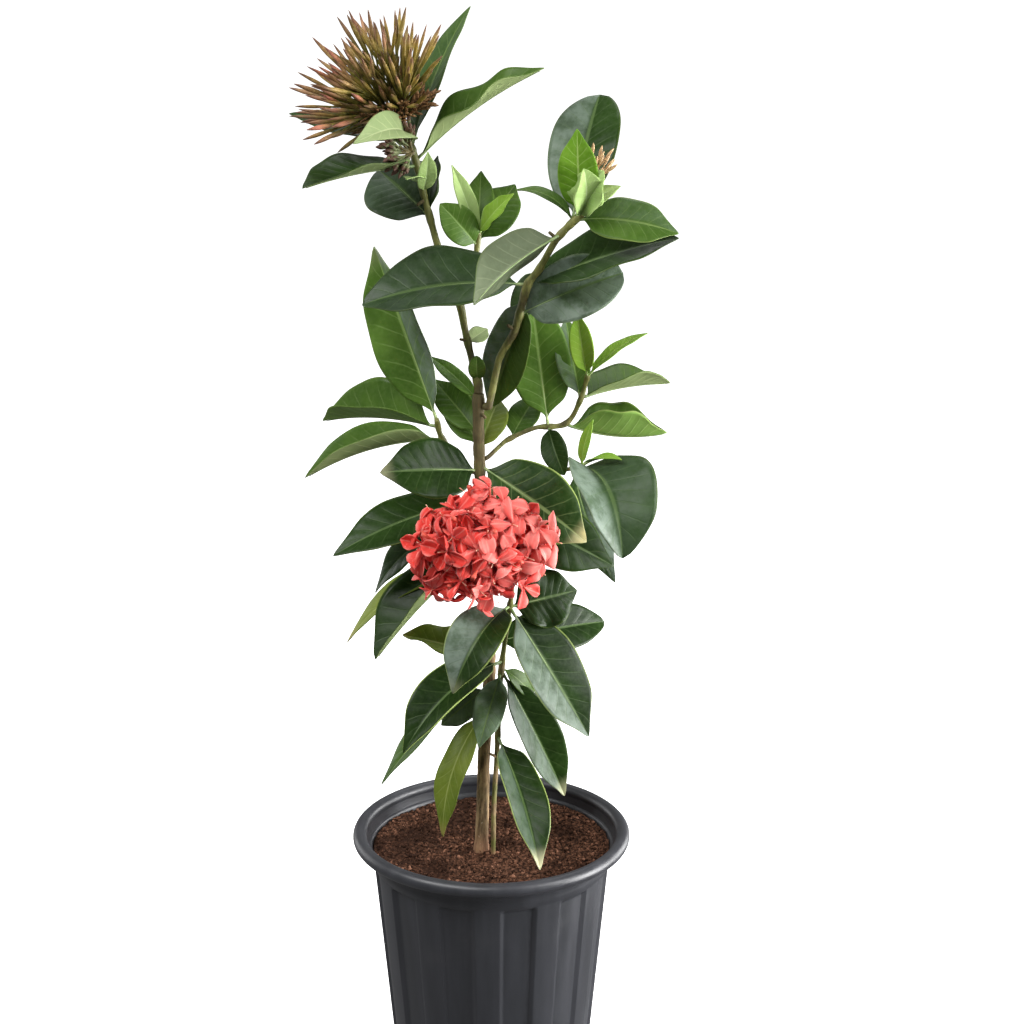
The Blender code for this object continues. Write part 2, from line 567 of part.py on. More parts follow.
def build_bloom(collection, material):
    """A dome of florets on tubes from one hub, seated on the front shoot."""
    chance = random.Random(41)
    x, y, top, radius = FRONT_SHOOT[-1]
    foot = top + SEAT_GAP / MM
    path = (
        (x, y, foot, radius),
        (x, y, foot + BLOOM_STALK / MM, radius),
        (*(BLOOM_HUB / MM), BLOOM_STALK_RADIUS / MM),
    )
    stalk = tube("bloom", path, collection, material)
    bpy.ops.mesh.primitive_ico_sphere_add(subdivisions=2, radius=BLOOM_CORE)
    core = bpy.context.object
    core.data.transform(Matrix.Diagonal((*BLOOM_REACH, 1.0)))
    core.data.transform(Matrix.Translation(BLOOM_CENTRE))
    faces = [floret_template(droop, collection, material) for droop in FLORET_DROOPS]
    slender = tube_template()
    pieces = [core]
    frame = aim(BLOOM_AXIS)
    golden = math.pi * (3.0 - math.sqrt(5.0))
    for index in range(FLORET_COUNT):
        height = 1.0 - (1.0 + BLOOM_SPREAD) * (index + 0.5) / FLORET_COUNT
        ring = math.sqrt(1.0 - height * height)
        turn = golden * index
        way = (frame @ Vector((ring * math.cos(turn), ring * math.sin(turn), height))).normalized()
        depth = FLORET_DEPTHS[index % len(FLORET_DEPTHS)]
        spot = BLOOM_CENTRE + Vector([way[i] * BLOOM_REACH[i] * depth for i in range(3)])
        facing = (way + (spot - BLOOM_HUB).normalized()).normalized()
        spin = aim(facing, chance.uniform(0.0, math.tau))
        matrix = Matrix.Translation(spot) @ spin @ Matrix.Scale(chance.uniform(*FLORET_SIZES), 4)
        face = faces[index % len(faces)]
        pieces.append(copy_piece(face, "floret_%02d" % index, matrix, collection, material))
        foot = BLOOM_HUB + (spot - BLOOM_HUB) * FLORET_TUBE_FOOT
        reach = (spot - foot).length + PETAL_THICKNESS / 2.0
        matrix = Matrix.Translation(foot) @ aim(spot - foot) @ Matrix.Diagonal((1.0, 1.0, reach, 1.0))
        pieces.append(copy_piece(slender, "floret_tube_%02d" % index, matrix, collection, material))
    return fuse(stalk, pieces)


def stem_top(path):
    """Where a spray stands: just clear of the last point of a stem's axis."""
    x, y, z = path[-1][:3]
    return (x, y, z + SEAT_GAP / MM)


def bud_mesh(collection, material):
    """One closed bud of unit length along +Z, slender at its foot and blunt at its tip."""
    scaled = [(radius * BUD_RADIUS, height) for radius, height in BUD_PROFILE]
    bud = turned("bud_template", scaled, 4, collection, material)
    mesh = bud.data
    bpy.data.objects.remove(bud, do_unlink=True)
    return mesh


def bud_spray(name, foot, stalks, buds_each, spread, length, thin, collection, material, seed):
    """Stalks fanning out from a foot, each with a fan of buds at its end."""
    chance = random.Random(seed)
    x, y, z = foot
    girth = BUD_FOOT_RADIUS * thin
    body = tube(name, ((x, y, z, girth), (x, y, z + 3.0, girth)), collection, material)
    hub = Vector((x, y, z + 2.0))
    template = bud_mesh(collection, material)
    pieces = []
    for number, (dx, dy, dz, reach) in enumerate(stalks):
        way = Vector((dx, dy, dz)).normalized()
        end = hub + way * reach
        path = ((*hub, BUD_STALK_RADIUS * thin), (*end, BUD_STALK_RADIUS * thin))
        pieces.append(tube("%s_stalk_%02d" % (name, number), path, collection, material))
        for index in range(buds_each):
            if index == 0:
                lean, turn = 0.0, 0.0
            else:
                lean = math.radians(spread) * (0.55 if index % 2 else 1.0)
                turn = math.tau * index / (buds_each - 1) + chance.uniform(-0.25, 0.25)
            tilt = aim(way) @ Matrix.Rotation(turn, 4, "Z") @ Matrix.Rotation(lean, 4, "X")
            size = length * chance.uniform(*BUD_SIZES)
            stretch = Matrix.Diagonal((thin, thin, size, 1.0))
            start = (end - way * 1.0 - way * reach * 0.12 * (index % 3)) * MM
            matrix = Matrix.Translation(start) @ tilt @ stretch
            label = "%s_bud_%02d_%02d" % (name, number, index)
            pieces.append(copy_piece(template, label, matrix, collection, material))
    return fuse(body, pieces)


def main():
    clear_scene()
    plant = new_collection("potted_ixora")
    cutters = new_collection("cutters")
    plastic = make_material("pot_plastic", (0.045, 0.043, 0.048), 0.42)
    earth = make_material("soil_earth", (0.085, 0.040, 0.024), 0.95)
    green = make_material("leaf_green", (0.030, 0.110, 0.028), 0.40)
    young = make_material("young_green", (0.160, 0.330, 0.050), 0.45)
    coral = make_material("petal_coral", (0.750, 0.085, 0.075), 0.60)
    bud_tan = make_material("bud_tan", (0.330, 0.150, 0.080), 0.60)

    build_pot(plant, plastic)
    build_soil(plant, earth, cutters)
    leafy_stem("main_stem", TRUNK, plant, green)
    leafy_stem("front_shoot", FRONT_SHOOT, plant, green)
    leafy_stem("left_leader", LEFT_LEADER, plant, green)
    leafy_stem("centre_shoot", CENTRE_SHOOT, plant, young)
    leafy_stem("right_leader", RIGHT_LEADER, plant, green)
    leafy_stem("left_branch", LEFT_BRANCH, plant, green)
    leafy_stem("right_branch", RIGHT_BRANCH, plant, green)
    leafy_stem("low_right_shoot", LOW_RIGHT_SHOOT, plant, green)
    build_bloom(plant, coral)

    head_foot = stem_top(LEFT_LEADER)
    bud_spray("bud_head", head_foot, HEAD_STALKS, 7, 36, BUD_LENGTH, 1.0, plant, bud_tan, 7)
    right_foot = stem_top(RIGHT_LEADER)
    bud_spray("bud_cluster_right", right_foot, RIGHT_STALKS, 4, 22, SMALL_BUD_LENGTH, SMALL_BUD_GIRTH,
              plant, bud_tan, 9)
    bpy.data.collections.remove(cutters)


main()
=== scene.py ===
# %% [markdown]
# # A potted ixora, dressed piece by piece
#
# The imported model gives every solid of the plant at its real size: a fluted pot, a plug of soil,
# eight leafy stems, a bloom and two sprays of buds. This lesson gives each of them its fine surface.
# Everything is in metres with +Z up, the pot stands on the floor at the origin, and the bloom looks
# along -Y, towards the camera.

# %% Load the fixed frame
import math
import random
from collections import namedtuple

import bpy
from mathutils import Matrix, Vector, noise


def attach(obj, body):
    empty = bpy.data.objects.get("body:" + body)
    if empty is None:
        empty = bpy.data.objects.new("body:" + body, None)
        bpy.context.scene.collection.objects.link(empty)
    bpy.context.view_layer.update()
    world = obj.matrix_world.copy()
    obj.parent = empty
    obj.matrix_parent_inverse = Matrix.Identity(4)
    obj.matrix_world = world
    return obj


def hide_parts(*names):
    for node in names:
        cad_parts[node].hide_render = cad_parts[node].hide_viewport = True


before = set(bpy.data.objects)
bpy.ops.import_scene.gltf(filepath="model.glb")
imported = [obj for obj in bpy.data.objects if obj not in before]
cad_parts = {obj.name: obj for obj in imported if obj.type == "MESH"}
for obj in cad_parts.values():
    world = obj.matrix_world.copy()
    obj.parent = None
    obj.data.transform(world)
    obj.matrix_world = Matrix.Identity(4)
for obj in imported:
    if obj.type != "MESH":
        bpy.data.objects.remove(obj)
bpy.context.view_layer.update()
print("solids:", ", ".join(sorted(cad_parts)))

# %% [markdown]
# The camera comes first. The photograph was taken from a little above the plant, so the pot's rim
# shows as an open ellipse. A 70 mm lens keeps the perspective calm, and the tilt puts the bud head
# near the top edge while the lower edge cuts the pot above its foot.

# %% Camera
LENS = 70.0
SENSOR = 36.0
CAMERA_PLACE = (0.0149, -1.3305, 0.7986)
# degrees below the horizon
CAMERA_DIP = 15.27

lens = bpy.data.cameras.new("view")
lens.lens = LENS
lens.sensor_width = SENSOR
camera = bpy.data.objects.new("view", lens)
camera.location = CAMERA_PLACE
camera.rotation_euler = (math.radians(90.0 - CAMERA_DIP), 0.0, 0.0)
bpy.context.scene.collection.objects.link(camera)
bpy.context.scene.camera = camera
print("camera looks down by", CAMERA_DIP, "degrees")

# %% [markdown]
# A few small helpers serve all the pieces. Operators act on whatever is selected, so each step
# starts from an empty selection. A finished piece keeps its object at the origin and holds its place
# in its mesh, as the solids of the frame do, and then it rides on the one body and hides the solid
# that it stands for.

# %% Helpers for modelling
MM = 0.001
WHOLE_TURN = math.tau
MERGE_GAP = 0.00001


def deselect():
    bpy.ops.object.select_all(action="DESELECT")


def activate(thing):
    deselect()
    thing.select_set(True)
    bpy.context.view_layer.objects.active = thing


def apply_modifier(thing, modifier):
    activate(thing)
    bpy.ops.object.modifier_apply(modifier=modifier.name)


def join(name, pieces):
    """One mesh object of several, under a new name."""
    activate(pieces[0])
    for piece in pieces:
        piece.select_set(True)
    bpy.ops.object.join()
    whole = bpy.context.object
    whole.name = name
    whole.data.name = name
    return whole


def copy_of(template, matrix, name):
    """A copy of a template with a mesh of its own, put in place by a matrix."""
    mesh = template.data.copy()
    mesh.transform(matrix)
    thing = bpy.data.objects.new(name, mesh)
    bpy.context.scene.collection.objects.link(thing)
    return thing


def drop(thing):
    bpy.data.objects.remove(thing, do_unlink=True)


def give(thing, *materials):
    thing.data.materials.clear()
    for material in materials:
        thing.data.materials.append(material)


def mark(thing, name, values):
    """A number for each vertex, which a material can read by name."""
    attribute = thing.data.attributes.new(name, "FLOAT", "POINT")
    attribute.data.foreach_set("value", values)


def mark_all(thing, **values):
    """Under each name, the same number on every vertex."""
    for name, value in values.items():
        mark(thing, name, [value] * len(thing.data.vertices))


def triangles(thing):
    return sum(len(face.vertices) - 2 for face in thing.data.polygons)


def hand_over(thing, node):
    """A finished piece rides on the plant's body and stands for its solid, which is hidden."""
    thing.data.shade_smooth()
    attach(thing, "root")
    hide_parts(node)
    print(thing.name, "has", triangles(thing), "triangles")


def aim(direction, spin=0.0):
    """A rotation that turns +Z to a direction, after a spin about +Z."""
    turn = Vector(direction).to_track_quat("Z", "Y").to_matrix().to_4x4()
    return turn @ Matrix.Rotation(spin, 4, "Z")


def reaching(start, way, length):
    """Sets a template of unit length at a start, along a way, and makes it as long as wanted."""
    return Matrix.Translation(start) @ aim(way) @ Matrix.Diagonal((1.0, 1.0, length, 1.0))


def jitter(chance, most):
    return Vector([chance.uniform(-most, most) for _ in range(3)])


def ease(low, high, value):
    """Smooth step from 0 at low to 1 at high."""
    share = min(max((value - low) / (high - low), 0.0), 1.0)
    return share * share * (3.0 - 2.0 * share)


# %% [markdown]
# Turned shapes, here the pot and the soil, start as one vertex that is extruded along the profile
# and then spun about +Z, as a potter would think of it. Spinning leaves a double seam and a heap of
# vertices on the axis, so doubles are merged before the normals are made to agree.

# %% Profile and spin
def spun(name, profile, steps):
    """Extrude a vertex along (radius, height) points and spin the line about +Z."""
    deselect()
    bpy.ops.mesh.primitive_plane_add(size=0.01, location=(0.0, 0.0, 0.0))
    thing = bpy.context.object
    thing.name = name
    bpy.ops.object.mode_set(mode="EDIT")
    bpy.ops.mesh.select_all(action="SELECT")
    bpy.ops.mesh.merge(type="CENTER")
    bpy.ops.transform.translate(value=(profile[0][0], 0.0, profile[0][1]))
    for (r0, z0), (r1, z1) in zip(profile, profile[1:]):
        bpy.ops.mesh.extrude_vertices_move(
            TRANSFORM_OT_translate={"value": (r1 - r0, 0.0, z1 - z0)})
    bpy.ops.mesh.select_all(action="SELECT")
    bpy.ops.mesh.spin(steps=steps, angle=WHOLE_TURN, center=(0.0, 0.0, 0.0), axis=(0.0, 0.0, 1.0))
    bpy.ops.mesh.select_all(action="SELECT")
    bpy.ops.mesh.remove_doubles(threshold=MERGE_GAP)
    bpy.ops.mesh.normals_make_consistent(inside=False)
    bpy.ops.object.mode_set(mode="OBJECT")
    return thing


# %% [markdown]
# Stems, petioles, stalks and threads are tubes along a line of points with a radius at each. A
# poly curve with a round bevel gives them, and converting it makes an ordinary mesh. The points of
# the frame's stems lie far apart, so a smooth curve is laid through them first.

# %% Tubes
def smooth_path(path, step):
    """Points a few millimetres apart on a smooth curve through (x, y, z, radius) points."""
    knots = [Vector(point[:3]) for point in path]
    widths = [point[3] for point in path]
    ends = [knots[0] * 2.0 - knots[1]] + knots + [knots[-1] * 2.0 - knots[-2]]
    result = []
    for number, (before, start, end, after) in enumerate(zip(ends, ends[1:], ends[2:], ends[3:])):
        gap = (end - start).length
        count = max(1, round(gap / step))
        reach = min(gap, (start - before).length, (end - after).length)
        leave = (end - before).normalized() * reach
        arrive = (after - start).normalized() * reach
        for index in range(count):
            t = index / count
            point = start * (2 * t ** 3 - 3 * t ** 2 + 1) + leave * (t ** 3 - 2 * t ** 2 + t)
            point += end * (3 * t ** 2 - 2 * t ** 3) + arrive * (t ** 3 - t ** 2)
            result.append((*point, widths[number] + (widths[number + 1] - widths[number]) * t))
    result.append((*knots[-1], widths[-1]))
    return result


def tube(name, points, sides):
    """A closed tube along (x, y, z, radius) points in metres."""
    curve = bpy.data.curves.new(name, "CURVE")
    curve.dimensions = "3D"
    curve.bevel_depth = 1.0
    curve.bevel_resolution = max(0, sides // 2 - 2)
    curve.use_fill_caps = True
    spline = curve.splines.new("POLY")
    spline.points.add(len(points) - 1)
    for knot, (x, y, z, radius) in zip(spline.points, points):
        knot.co = (x, y, z, 1.0)
        knot.radius = radius
    thing = bpy.data.objects.new(name, curve)
    bpy.context.scene.collection.objects.link(thing)
    activate(thing)
    bpy.ops.object.convert(target="MESH")
    thing = bpy.context.object
    bpy.ops.object.mode_set(mode="EDIT")
    bpy.ops.mesh.select_all(action="SELECT")
    bpy.ops.mesh.remove_doubles(threshold=MERGE_GAP)
    bpy.ops.object.mode_set(mode="OBJECT")
    return thing


# %% [markdown]
# Materials are small graphs of nodes. One helper adds a node, sets its options and either fills or
# links its inputs, which keeps each recipe short enough to read from top to bottom. Most recipes
# start from two tones mixed by noise, and then lay further tints over them.

# %% Helpers for materials
def new_material(name, colour, roughness, specular=0.5, coat=0.0, coat_roughness=0.1):
    material = bpy.data.materials.new(name)
    material.use_nodes = True
    shader = material.node_tree.nodes["Principled BSDF"]
    shader.inputs["Base Color"].default_value = (*colour, 1.0)
    shader.inputs["Roughness"].default_value = roughness
    shader.inputs["Specular IOR Level"].default_value = specular
    shader.inputs["Coat Weight"].default_value = coat
    shader.inputs["Coat Roughness"].default_value = coat_roughness
    return material


def add(tree, kind, inputs, **options):
    """A node with its options set; an input is a value, or a socket to link from."""
    made = tree.nodes.new(kind)
    for option, value in options.items():
        setattr(made, option, value)
    for name, value in inputs.items():
        if isinstance(value, bpy.types.NodeSocket):
            tree.links.new(value, made.inputs[name])
        else:
            made.inputs[name].default_value = value
    return made


def math_node(tree, operation, *values):
    return add(tree, "ShaderNodeMath", dict(enumerate(values)), operation=operation).outputs[0]


def times(tree, first, second):
    return math_node(tree, "MULTIPLY", first, second)


def span(tree, value, low, high, out_low=0.0, out_high=1.0):
    """Map a range of a value smoothly to another range, clamped."""
    inputs = {"Value": value, "From Min": low, "From Max": high, "To Min": out_low, "To Max": out_high}
    return add(tree, "ShaderNodeMapRange", inputs, interpolation_type="SMOOTHSTEP").outputs["Result"]


def blend(tree, share, first, second):
    """A colour between two, each a colour or a socket."""
    mix = add(tree, "ShaderNodeMix", {}, data_type="RGBA")
    for index, value in ((0, share), (6, first), (7, second)):
        if isinstance(value, bpy.types.NodeSocket):
            tree.links.new(value, mix.inputs[index])
        elif index == 0:
            mix.inputs[index].default_value = value
        else:
            mix.inputs[index].default_value = (*value, 1.0)
    return mix.outputs[2]


def tint(tree, colour, value, low, high, most, tone):
    """Lay a tone over a colour as a value goes from low to high, at most as strongly as given."""
    return blend(tree, span(tree, value, low, high, 0.0, most), colour, tone)


def own_place(tree):
    return tree.nodes.new("ShaderNodeTexCoord").outputs["Object"]


def own_axes(tree):
    return add(tree, "ShaderNodeSeparateXYZ", {"Vector": own_place(tree)}).outputs


def grain(tree, scale, detail=3.0, roughness=0.55, stretch=(1.0, 1.0, 1.0)):
    """Noise on the object's own coordinates, stretched along an axis where wanted."""
    mapped = add(tree, "ShaderNodeMapping", {"Vector": own_place(tree), "Scale": stretch}).outputs["Vector"]
    inputs = {"Vector": mapped, "Scale": scale, "Detail": detail, "Roughness": roughness}
    return add(tree, "ShaderNodeTexNoise", inputs).outputs["Fac"]


def read(tree, name):
    return add(tree, "ShaderNodeAttribute", {}, attribute_name=name).outputs["Fac"]


def relief(tree, height, distance, strength=1.0, after=None):
    """A bump from a height, laid over an earlier one if given."""
    inputs = {"Height": height, "Distance": distance, "Strength": strength}
    if after is not None:
        inputs["Normal"] = after
    return add(tree, "ShaderNodeBump", inputs).outputs["Normal"]


def plug(tree, **sockets):
    """Link sockets to the shader's inputs, named with underscores for spaces."""
    shader = tree.nodes["Principled BSDF"]
    for name, socket in sockets.items():
        tree.links.new(socket, shader.inputs[name.replace("_", " ")])


# %% [markdown]
# ## The pot
#
# The real pot is injection-moulded in one go: a rolled rim, a smooth band under it, a shoulder, and
# a thin wall stiffened by shallow flutes. It could be carved from the frame's solid, but that has 48
# flat sides. Spinning the same profile in one-degree steps keeps every size and gives a round rim.

# %% Pot: profile and spin
POT_STEPS = 360
RIM_RADIUS = 0.095
RIM_ROLL = 0.005
RIM_HEIGHT = 0.195
# degrees round the roll's section, from the inner wall over the top to the outer wall
RIM_ARC = range(205, -81, -11)
ROLL_FOOT = 0.1885
ROLL_FOOT_PROUD = 0.0012
WALL_FOOT_RADIUS = 0.069
WALL_TOP_RADIUS = 0.086
WALL_TOP_HEIGHT = 0.185
WALL_THICKNESS = 0.0020
FLOOR_THICKNESS = 0.003
NECK_HEIGHT = 0.182
NECK_FOOT = 0.187
# the band under the roll stands a little proud, and a shoulder leads from it to the flutes
BAND_HEIGHTS = (0.180, 0.1765)
BAND_PROUD = 0.0004
SHOULDER_HEIGHTS = (0.1758, 0.1745, 0.1728)
FLUTE_HEAD = 0.171
FLUTE_FOOT = 0.003
FLUTE_DEPTH = 0.0022
FLUTE_COUNT = 12
FLUTE_CENTRE = math.radians(-76.7)
INNER_STEP_DROP = 0.003
WALL_ROWS = 12
FOOT_ROLL = 0.0022
FOOT_ARC = (0, -30, -60, -90)


def around(degrees, radius, height, roll):
    """A point of a rounded edge, as (radius, height)."""
    turn = math.radians(degrees)
    return radius + roll * math.cos(turn), height + roll * math.sin(turn)


def wall_radius(height):
    return WALL_FOOT_RADIUS + (WALL_TOP_RADIUS - WALL_FOOT_RADIUS) * height / WALL_TOP_HEIGHT


def pot_profile():
    inset = WALL_THICKNESS + FLUTE_DEPTH
    line = [
        (0.0, FLOOR_THICKNESS),
        (wall_radius(FLOOR_THICKNESS) - inset, FLOOR_THICKNESS),
        (wall_radius(FLUTE_HEAD) - inset, FLUTE_HEAD - INNER_STEP_DROP),
        (wall_radius(NECK_HEIGHT) - WALL_THICKNESS, NECK_HEIGHT),
    ]
    line += [around(degrees, RIM_RADIUS, RIM_HEIGHT, RIM_ROLL) for degrees in RIM_ARC]
    line += [(wall_radius(ROLL_FOOT) + ROLL_FOOT_PROUD, ROLL_FOOT), (wall_radius(NECK_FOOT), NECK_FOOT)]
    line += [(wall_radius(height) + BAND_PROUD, height) for height in BAND_HEIGHTS]
    line += [(wall_radius(height), height) for height in (*SHOULDER_HEIGHTS, FLUTE_HEAD)]
    for row in range(1, WALL_ROWS + 1):
        height = FLUTE_HEAD + (FLUTE_FOOT - FLUTE_HEAD) * row / WALL_ROWS
        line.append((wall_radius(height), height))
    line += [around(degrees, wall_radius(0.0) - FOOT_ROLL, FOOT_ROLL, FOOT_ROLL) for degrees in FOOT_ARC]
    return line + [(0.0, 0.0)]


pot = spun("nursery_pot", pot_profile(), POT_STEPS)
print("pot:", triangles(pot), "triangles before the flutes")

# %% [markdown]
# The flutes are pressed in from outside. Selecting the wall between two ribs and scaling it towards
# the axis moves it inwards by the same share all the way down, so the flute narrows with the pot.
# Four passes over narrower and narrower strips round its two edges.

# %% Pot: press the flutes in
# half the strip's width in degrees, its top edge, and its share of the flute's depth
FLUTE_PASSES = ((7.9, 0.1733, 0.12), (7.2, 0.1725, 0.38), (6.6, 0.1718, 0.38), (5.9, 0.1712, 0.12))
STRIP_FOOT = 0.0025
OUTER_SLACK = 0.0004
MIDDLE_HEIGHT = 0.10


def angle_from_flute(x, y):
    """How far a point lies from the middle of the nearest flute, in degrees."""
    step = WHOLE_TURN / FLUTE_COUNT
    turn = (math.atan2(y, x) - FLUTE_CENTRE + step / 2.0) % step - step / 2.0
    return abs(math.degrees(turn))


def press(thing, half_angle, head, share):
    for vertex in thing.data.vertices:
        x, y, z = vertex.co
        outer = math.hypot(x, y) > wall_radius(z) - WALL_THICKNESS - OUTER_SLACK
        vertex.select = outer and STRIP_FOOT < z < head and angle_from_flute(x, y) < half_angle
    factor = 1.0 - share * FLUTE_DEPTH / wall_radius(MIDDLE_HEIGHT)
    bpy.ops.object.mode_set(mode="EDIT")
    bpy.ops.transform.resize(value=(factor, factor, 1.0), center_override=(0.0, 0.0, 0.0))
    bpy.ops.object.mode_set(mode="OBJECT")


activate(pot)
bpy.ops.object.mode_set(mode="EDIT")
bpy.ops.mesh.select_mode(type="VERT")
bpy.ops.mesh.select_all(action="DESELECT")
bpy.ops.object.mode_set(mode="OBJECT")
for half_angle, head, share in FLUTE_PASSES:
    press(pot, half_angle, head, share)
print("flutes:", FLUTE_COUNT)

# %% [markdown]
# The plastic is black recycled stock with a faint violet cast. Its satin skin has a soft mould
# texture, faint vertical drag marks and some dust, so the roughness wanders more than the colour.

# %% Pot: plastic
PLASTIC_BLACKS = ((0.018, 0.019, 0.0225), (0.028, 0.029, 0.0345))
PLASTIC_DUST = (0.070, 0.066, 0.068)


def make_pot_plastic():
    material = new_material("pot_plastic_satin", (0.028, 0.029, 0.034), 0.4, specular=0.50)
    tree = material.node_tree
    drag = grain(tree, 60.0, 4.0, 0.6, (1.0, 1.0, 0.06))
    dust = grain(tree, 14.0, 5.0, 0.65)
    pores = grain(tree, 900.0, 2.0)
    colour = blend(tree, span(tree, drag, 0.3, 0.7), *PLASTIC_BLACKS)
    colour = tint(tree, colour, dust, 0.55, 0.85, 0.22, PLASTIC_DUST)
    rough = math_node(tree, "ADD", span(tree, drag, 0.25, 0.75, 0.34, 0.44),
                      span(tree, dust, 0.45, 0.8, 0.0, 0.16))
    bumps = relief(tree, pores, 0.0001, 0.35)
    bumps = relief(tree, drag, 0.0002, 0.25, bumps)
    plug(tree, Base_Color=colour, Roughness=rough, Normal=bumps)
    return material


give(pot, make_pot_plastic())
hand_over(pot, "pot")

# %% [markdown]
# ## The soil
#
# Potting soil is crumbs of peat and coir. A smooth disc with a bumpy material would still look like
# a disc at its edge, so the surface is really uneven: a spun plug with a fine top, pushed up and
# down by noise, and loose crumbs strewn over it by a seeded draw.

# %% Soil: plug and crumbs
SOIL_STEPS = 280
SOIL_RINGS = 92
SOIL_LEVEL = 0.185
SOIL_DIP = 0.001
SOIL_EDGE_RADIUS = 0.0853
SOIL_SWELL = 0.0016
SOIL_WAVES = (72.0, 88.0)
SOIL_PHASES = (0.8, -0.5)
SOIL_EDGE_FADE = 4
SOIL_MOUND = 0.0025
SOIL_MOUND_REACH = 0.012
SOIL_GAP = 0.0003
SOIL_NECK_DROP = 0.001
SOIL_WAIST = 0.165
# height and closeness of the clods, the crumbs and the grains
SOIL_GRAINS = ((0.0013, 130.0), (0.0012, 300.0), (0.0006, 800.0))
CRUMB_COUNT = 3200
CRUMB_SIZES = (0.0006, 0.0022)
CRUMB_SIZE_POWER = 2.2
CRUMB_MARGIN = 0.0015
CRUMB_LUMPS = 2.3
CRUMB_SHIFT = Vector((5.0, 1.0, 2.0))
CRUMB_ROUNDNESS = 0.75
CRUMB_UNEVENNESS = 0.5
# a crumb's breadth, height and lift over the soil, as shares of its size
CRUMB_BREADTHS = (0.6, 1.0)
CRUMB_HEIGHT = 0.7
CRUMB_LIFT = 0.25
STEM_FEET = ((-0.007, -0.011), (0.0015, -0.017))


def soil_height(x, y):
    """The frame's dish, swells and mound round the stems, with clods and grains on top."""
    radius = math.hypot(x, y)
    height = SOIL_LEVEL + SOIL_DIP * (2.0 * radius / SOIL_EDGE_RADIUS - 1.0)
    fade = 1.0 - (radius / SOIL_EDGE_RADIUS) ** SOIL_EDGE_FADE
    swell = fade * SOIL_SWELL * math.sin(x * SOIL_WAVES[0] + SOIL_PHASES[0])
    height += swell * math.cos(y * SOIL_WAVES[1] + SOIL_PHASES[1])
    away = min(math.hypot(x - fx, y - fy) for fx, fy in STEM_FEET)
    height += SOIL_MOUND * math.exp(-(away / SOIL_MOUND_REACH) ** 2)
    place = Vector((x, y, 0.0))
    return height + sum(tall * noise.noise(place * close) for tall, close in SOIL_GRAINS)


def build_soil():
    top = [(SOIL_EDGE_RADIUS * ring / SOIL_RINGS, SOIL_LEVEL) for ring in range(SOIL_RINGS + 1)]
    inset = WALL_THICKNESS + FLUTE_DEPTH + SOIL_GAP
    base = FLOOR_THICKNESS + SOIL_GAP
    side = [
        (wall_radius(NECK_HEIGHT) - WALL_THICKNESS - SOIL_GAP, NECK_HEIGHT - SOIL_NECK_DROP),
        (wall_radius(SOIL_WAIST) - inset, SOIL_WAIST),
        (wall_radius(base) - inset, base),
        (0.0, base),
    ]
    soil = spun("potting_soil", top + side, SOIL_STEPS)
    for vertex in soil.data.vertices:
        if vertex.co.z > NECK_HEIGHT:
            vertex.co.z = soil_height(vertex.co.x, vertex.co.y)
    return soil


def crumb_template():
    deselect()
    bpy.ops.mesh.primitive_ico_sphere_add(subdivisions=1, radius=1.0)
    crumb = bpy.context.object
    for vertex in crumb.data.vertices:
        lumps = noise.noise(vertex.co * CRUMB_LUMPS + CRUMB_SHIFT)
        vertex.co *= CRUMB_ROUNDNESS + CRUMB_UNEVENNESS * lumps
    return crumb


def strew_crumbs(soil):
    chance = random.Random(5)
    template = crumb_template()
    crumbs = [soil]
    for number in range(CRUMB_COUNT):
        radius = (SOIL_EDGE_RADIUS - CRUMB_MARGIN) * math.sqrt(chance.random())
        turn = chance.uniform(0.0, WHOLE_TURN)
        size = CRUMB_SIZES[0] + (CRUMB_SIZES[1] - CRUMB_SIZES[0]) * chance.random() ** CRUMB_SIZE_POWER
        x, y = radius * math.cos(turn), radius * math.sin(turn)
        place = Matrix.Translation((x, y, soil_height(x, y) + size * CRUMB_LIFT))
        lie = aim((chance.uniform(-1, 1), chance.uniform(-1, 1), 1.0), chance.uniform(0, WHOLE_TURN))
        breadth = size * chance.uniform(*CRUMB_BREADTHS)
        flat = Matrix.Diagonal((size, breadth, size * CRUMB_HEIGHT, 1.0))
        crumb = copy_of(template, place @ lie @ flat, "crumb_%04d" % number)
        mark_all(crumb, crumb_tone=chance.random())
        crumbs.append(crumb)
    drop(template)
    return join("potting_soil", crumbs)


soil = strew_crumbs(build_soil())
print("crumbs:", CRUMB_COUNT)

# %% [markdown]
# Damp soil is nearly black between its crumbs. The recipe darkens it in blotches of painted shade, as in
# shadowed hollows, more of them on the left where the rim casts painted shade, and then lightens some
# crumbs, by a tone that each carries, and specks of coir.

# %% Soil: earth
EARTH_TONES = ((0.012, 0.0058, 0.0038), (0.135, 0.062, 0.037))
EARTH_SHADE = (0.020, 0.0095, 0.0062)
EARTH_CRUMB = (0.330, 0.160, 0.100)
EARTH_SPECK = (0.360, 0.210, 0.140)


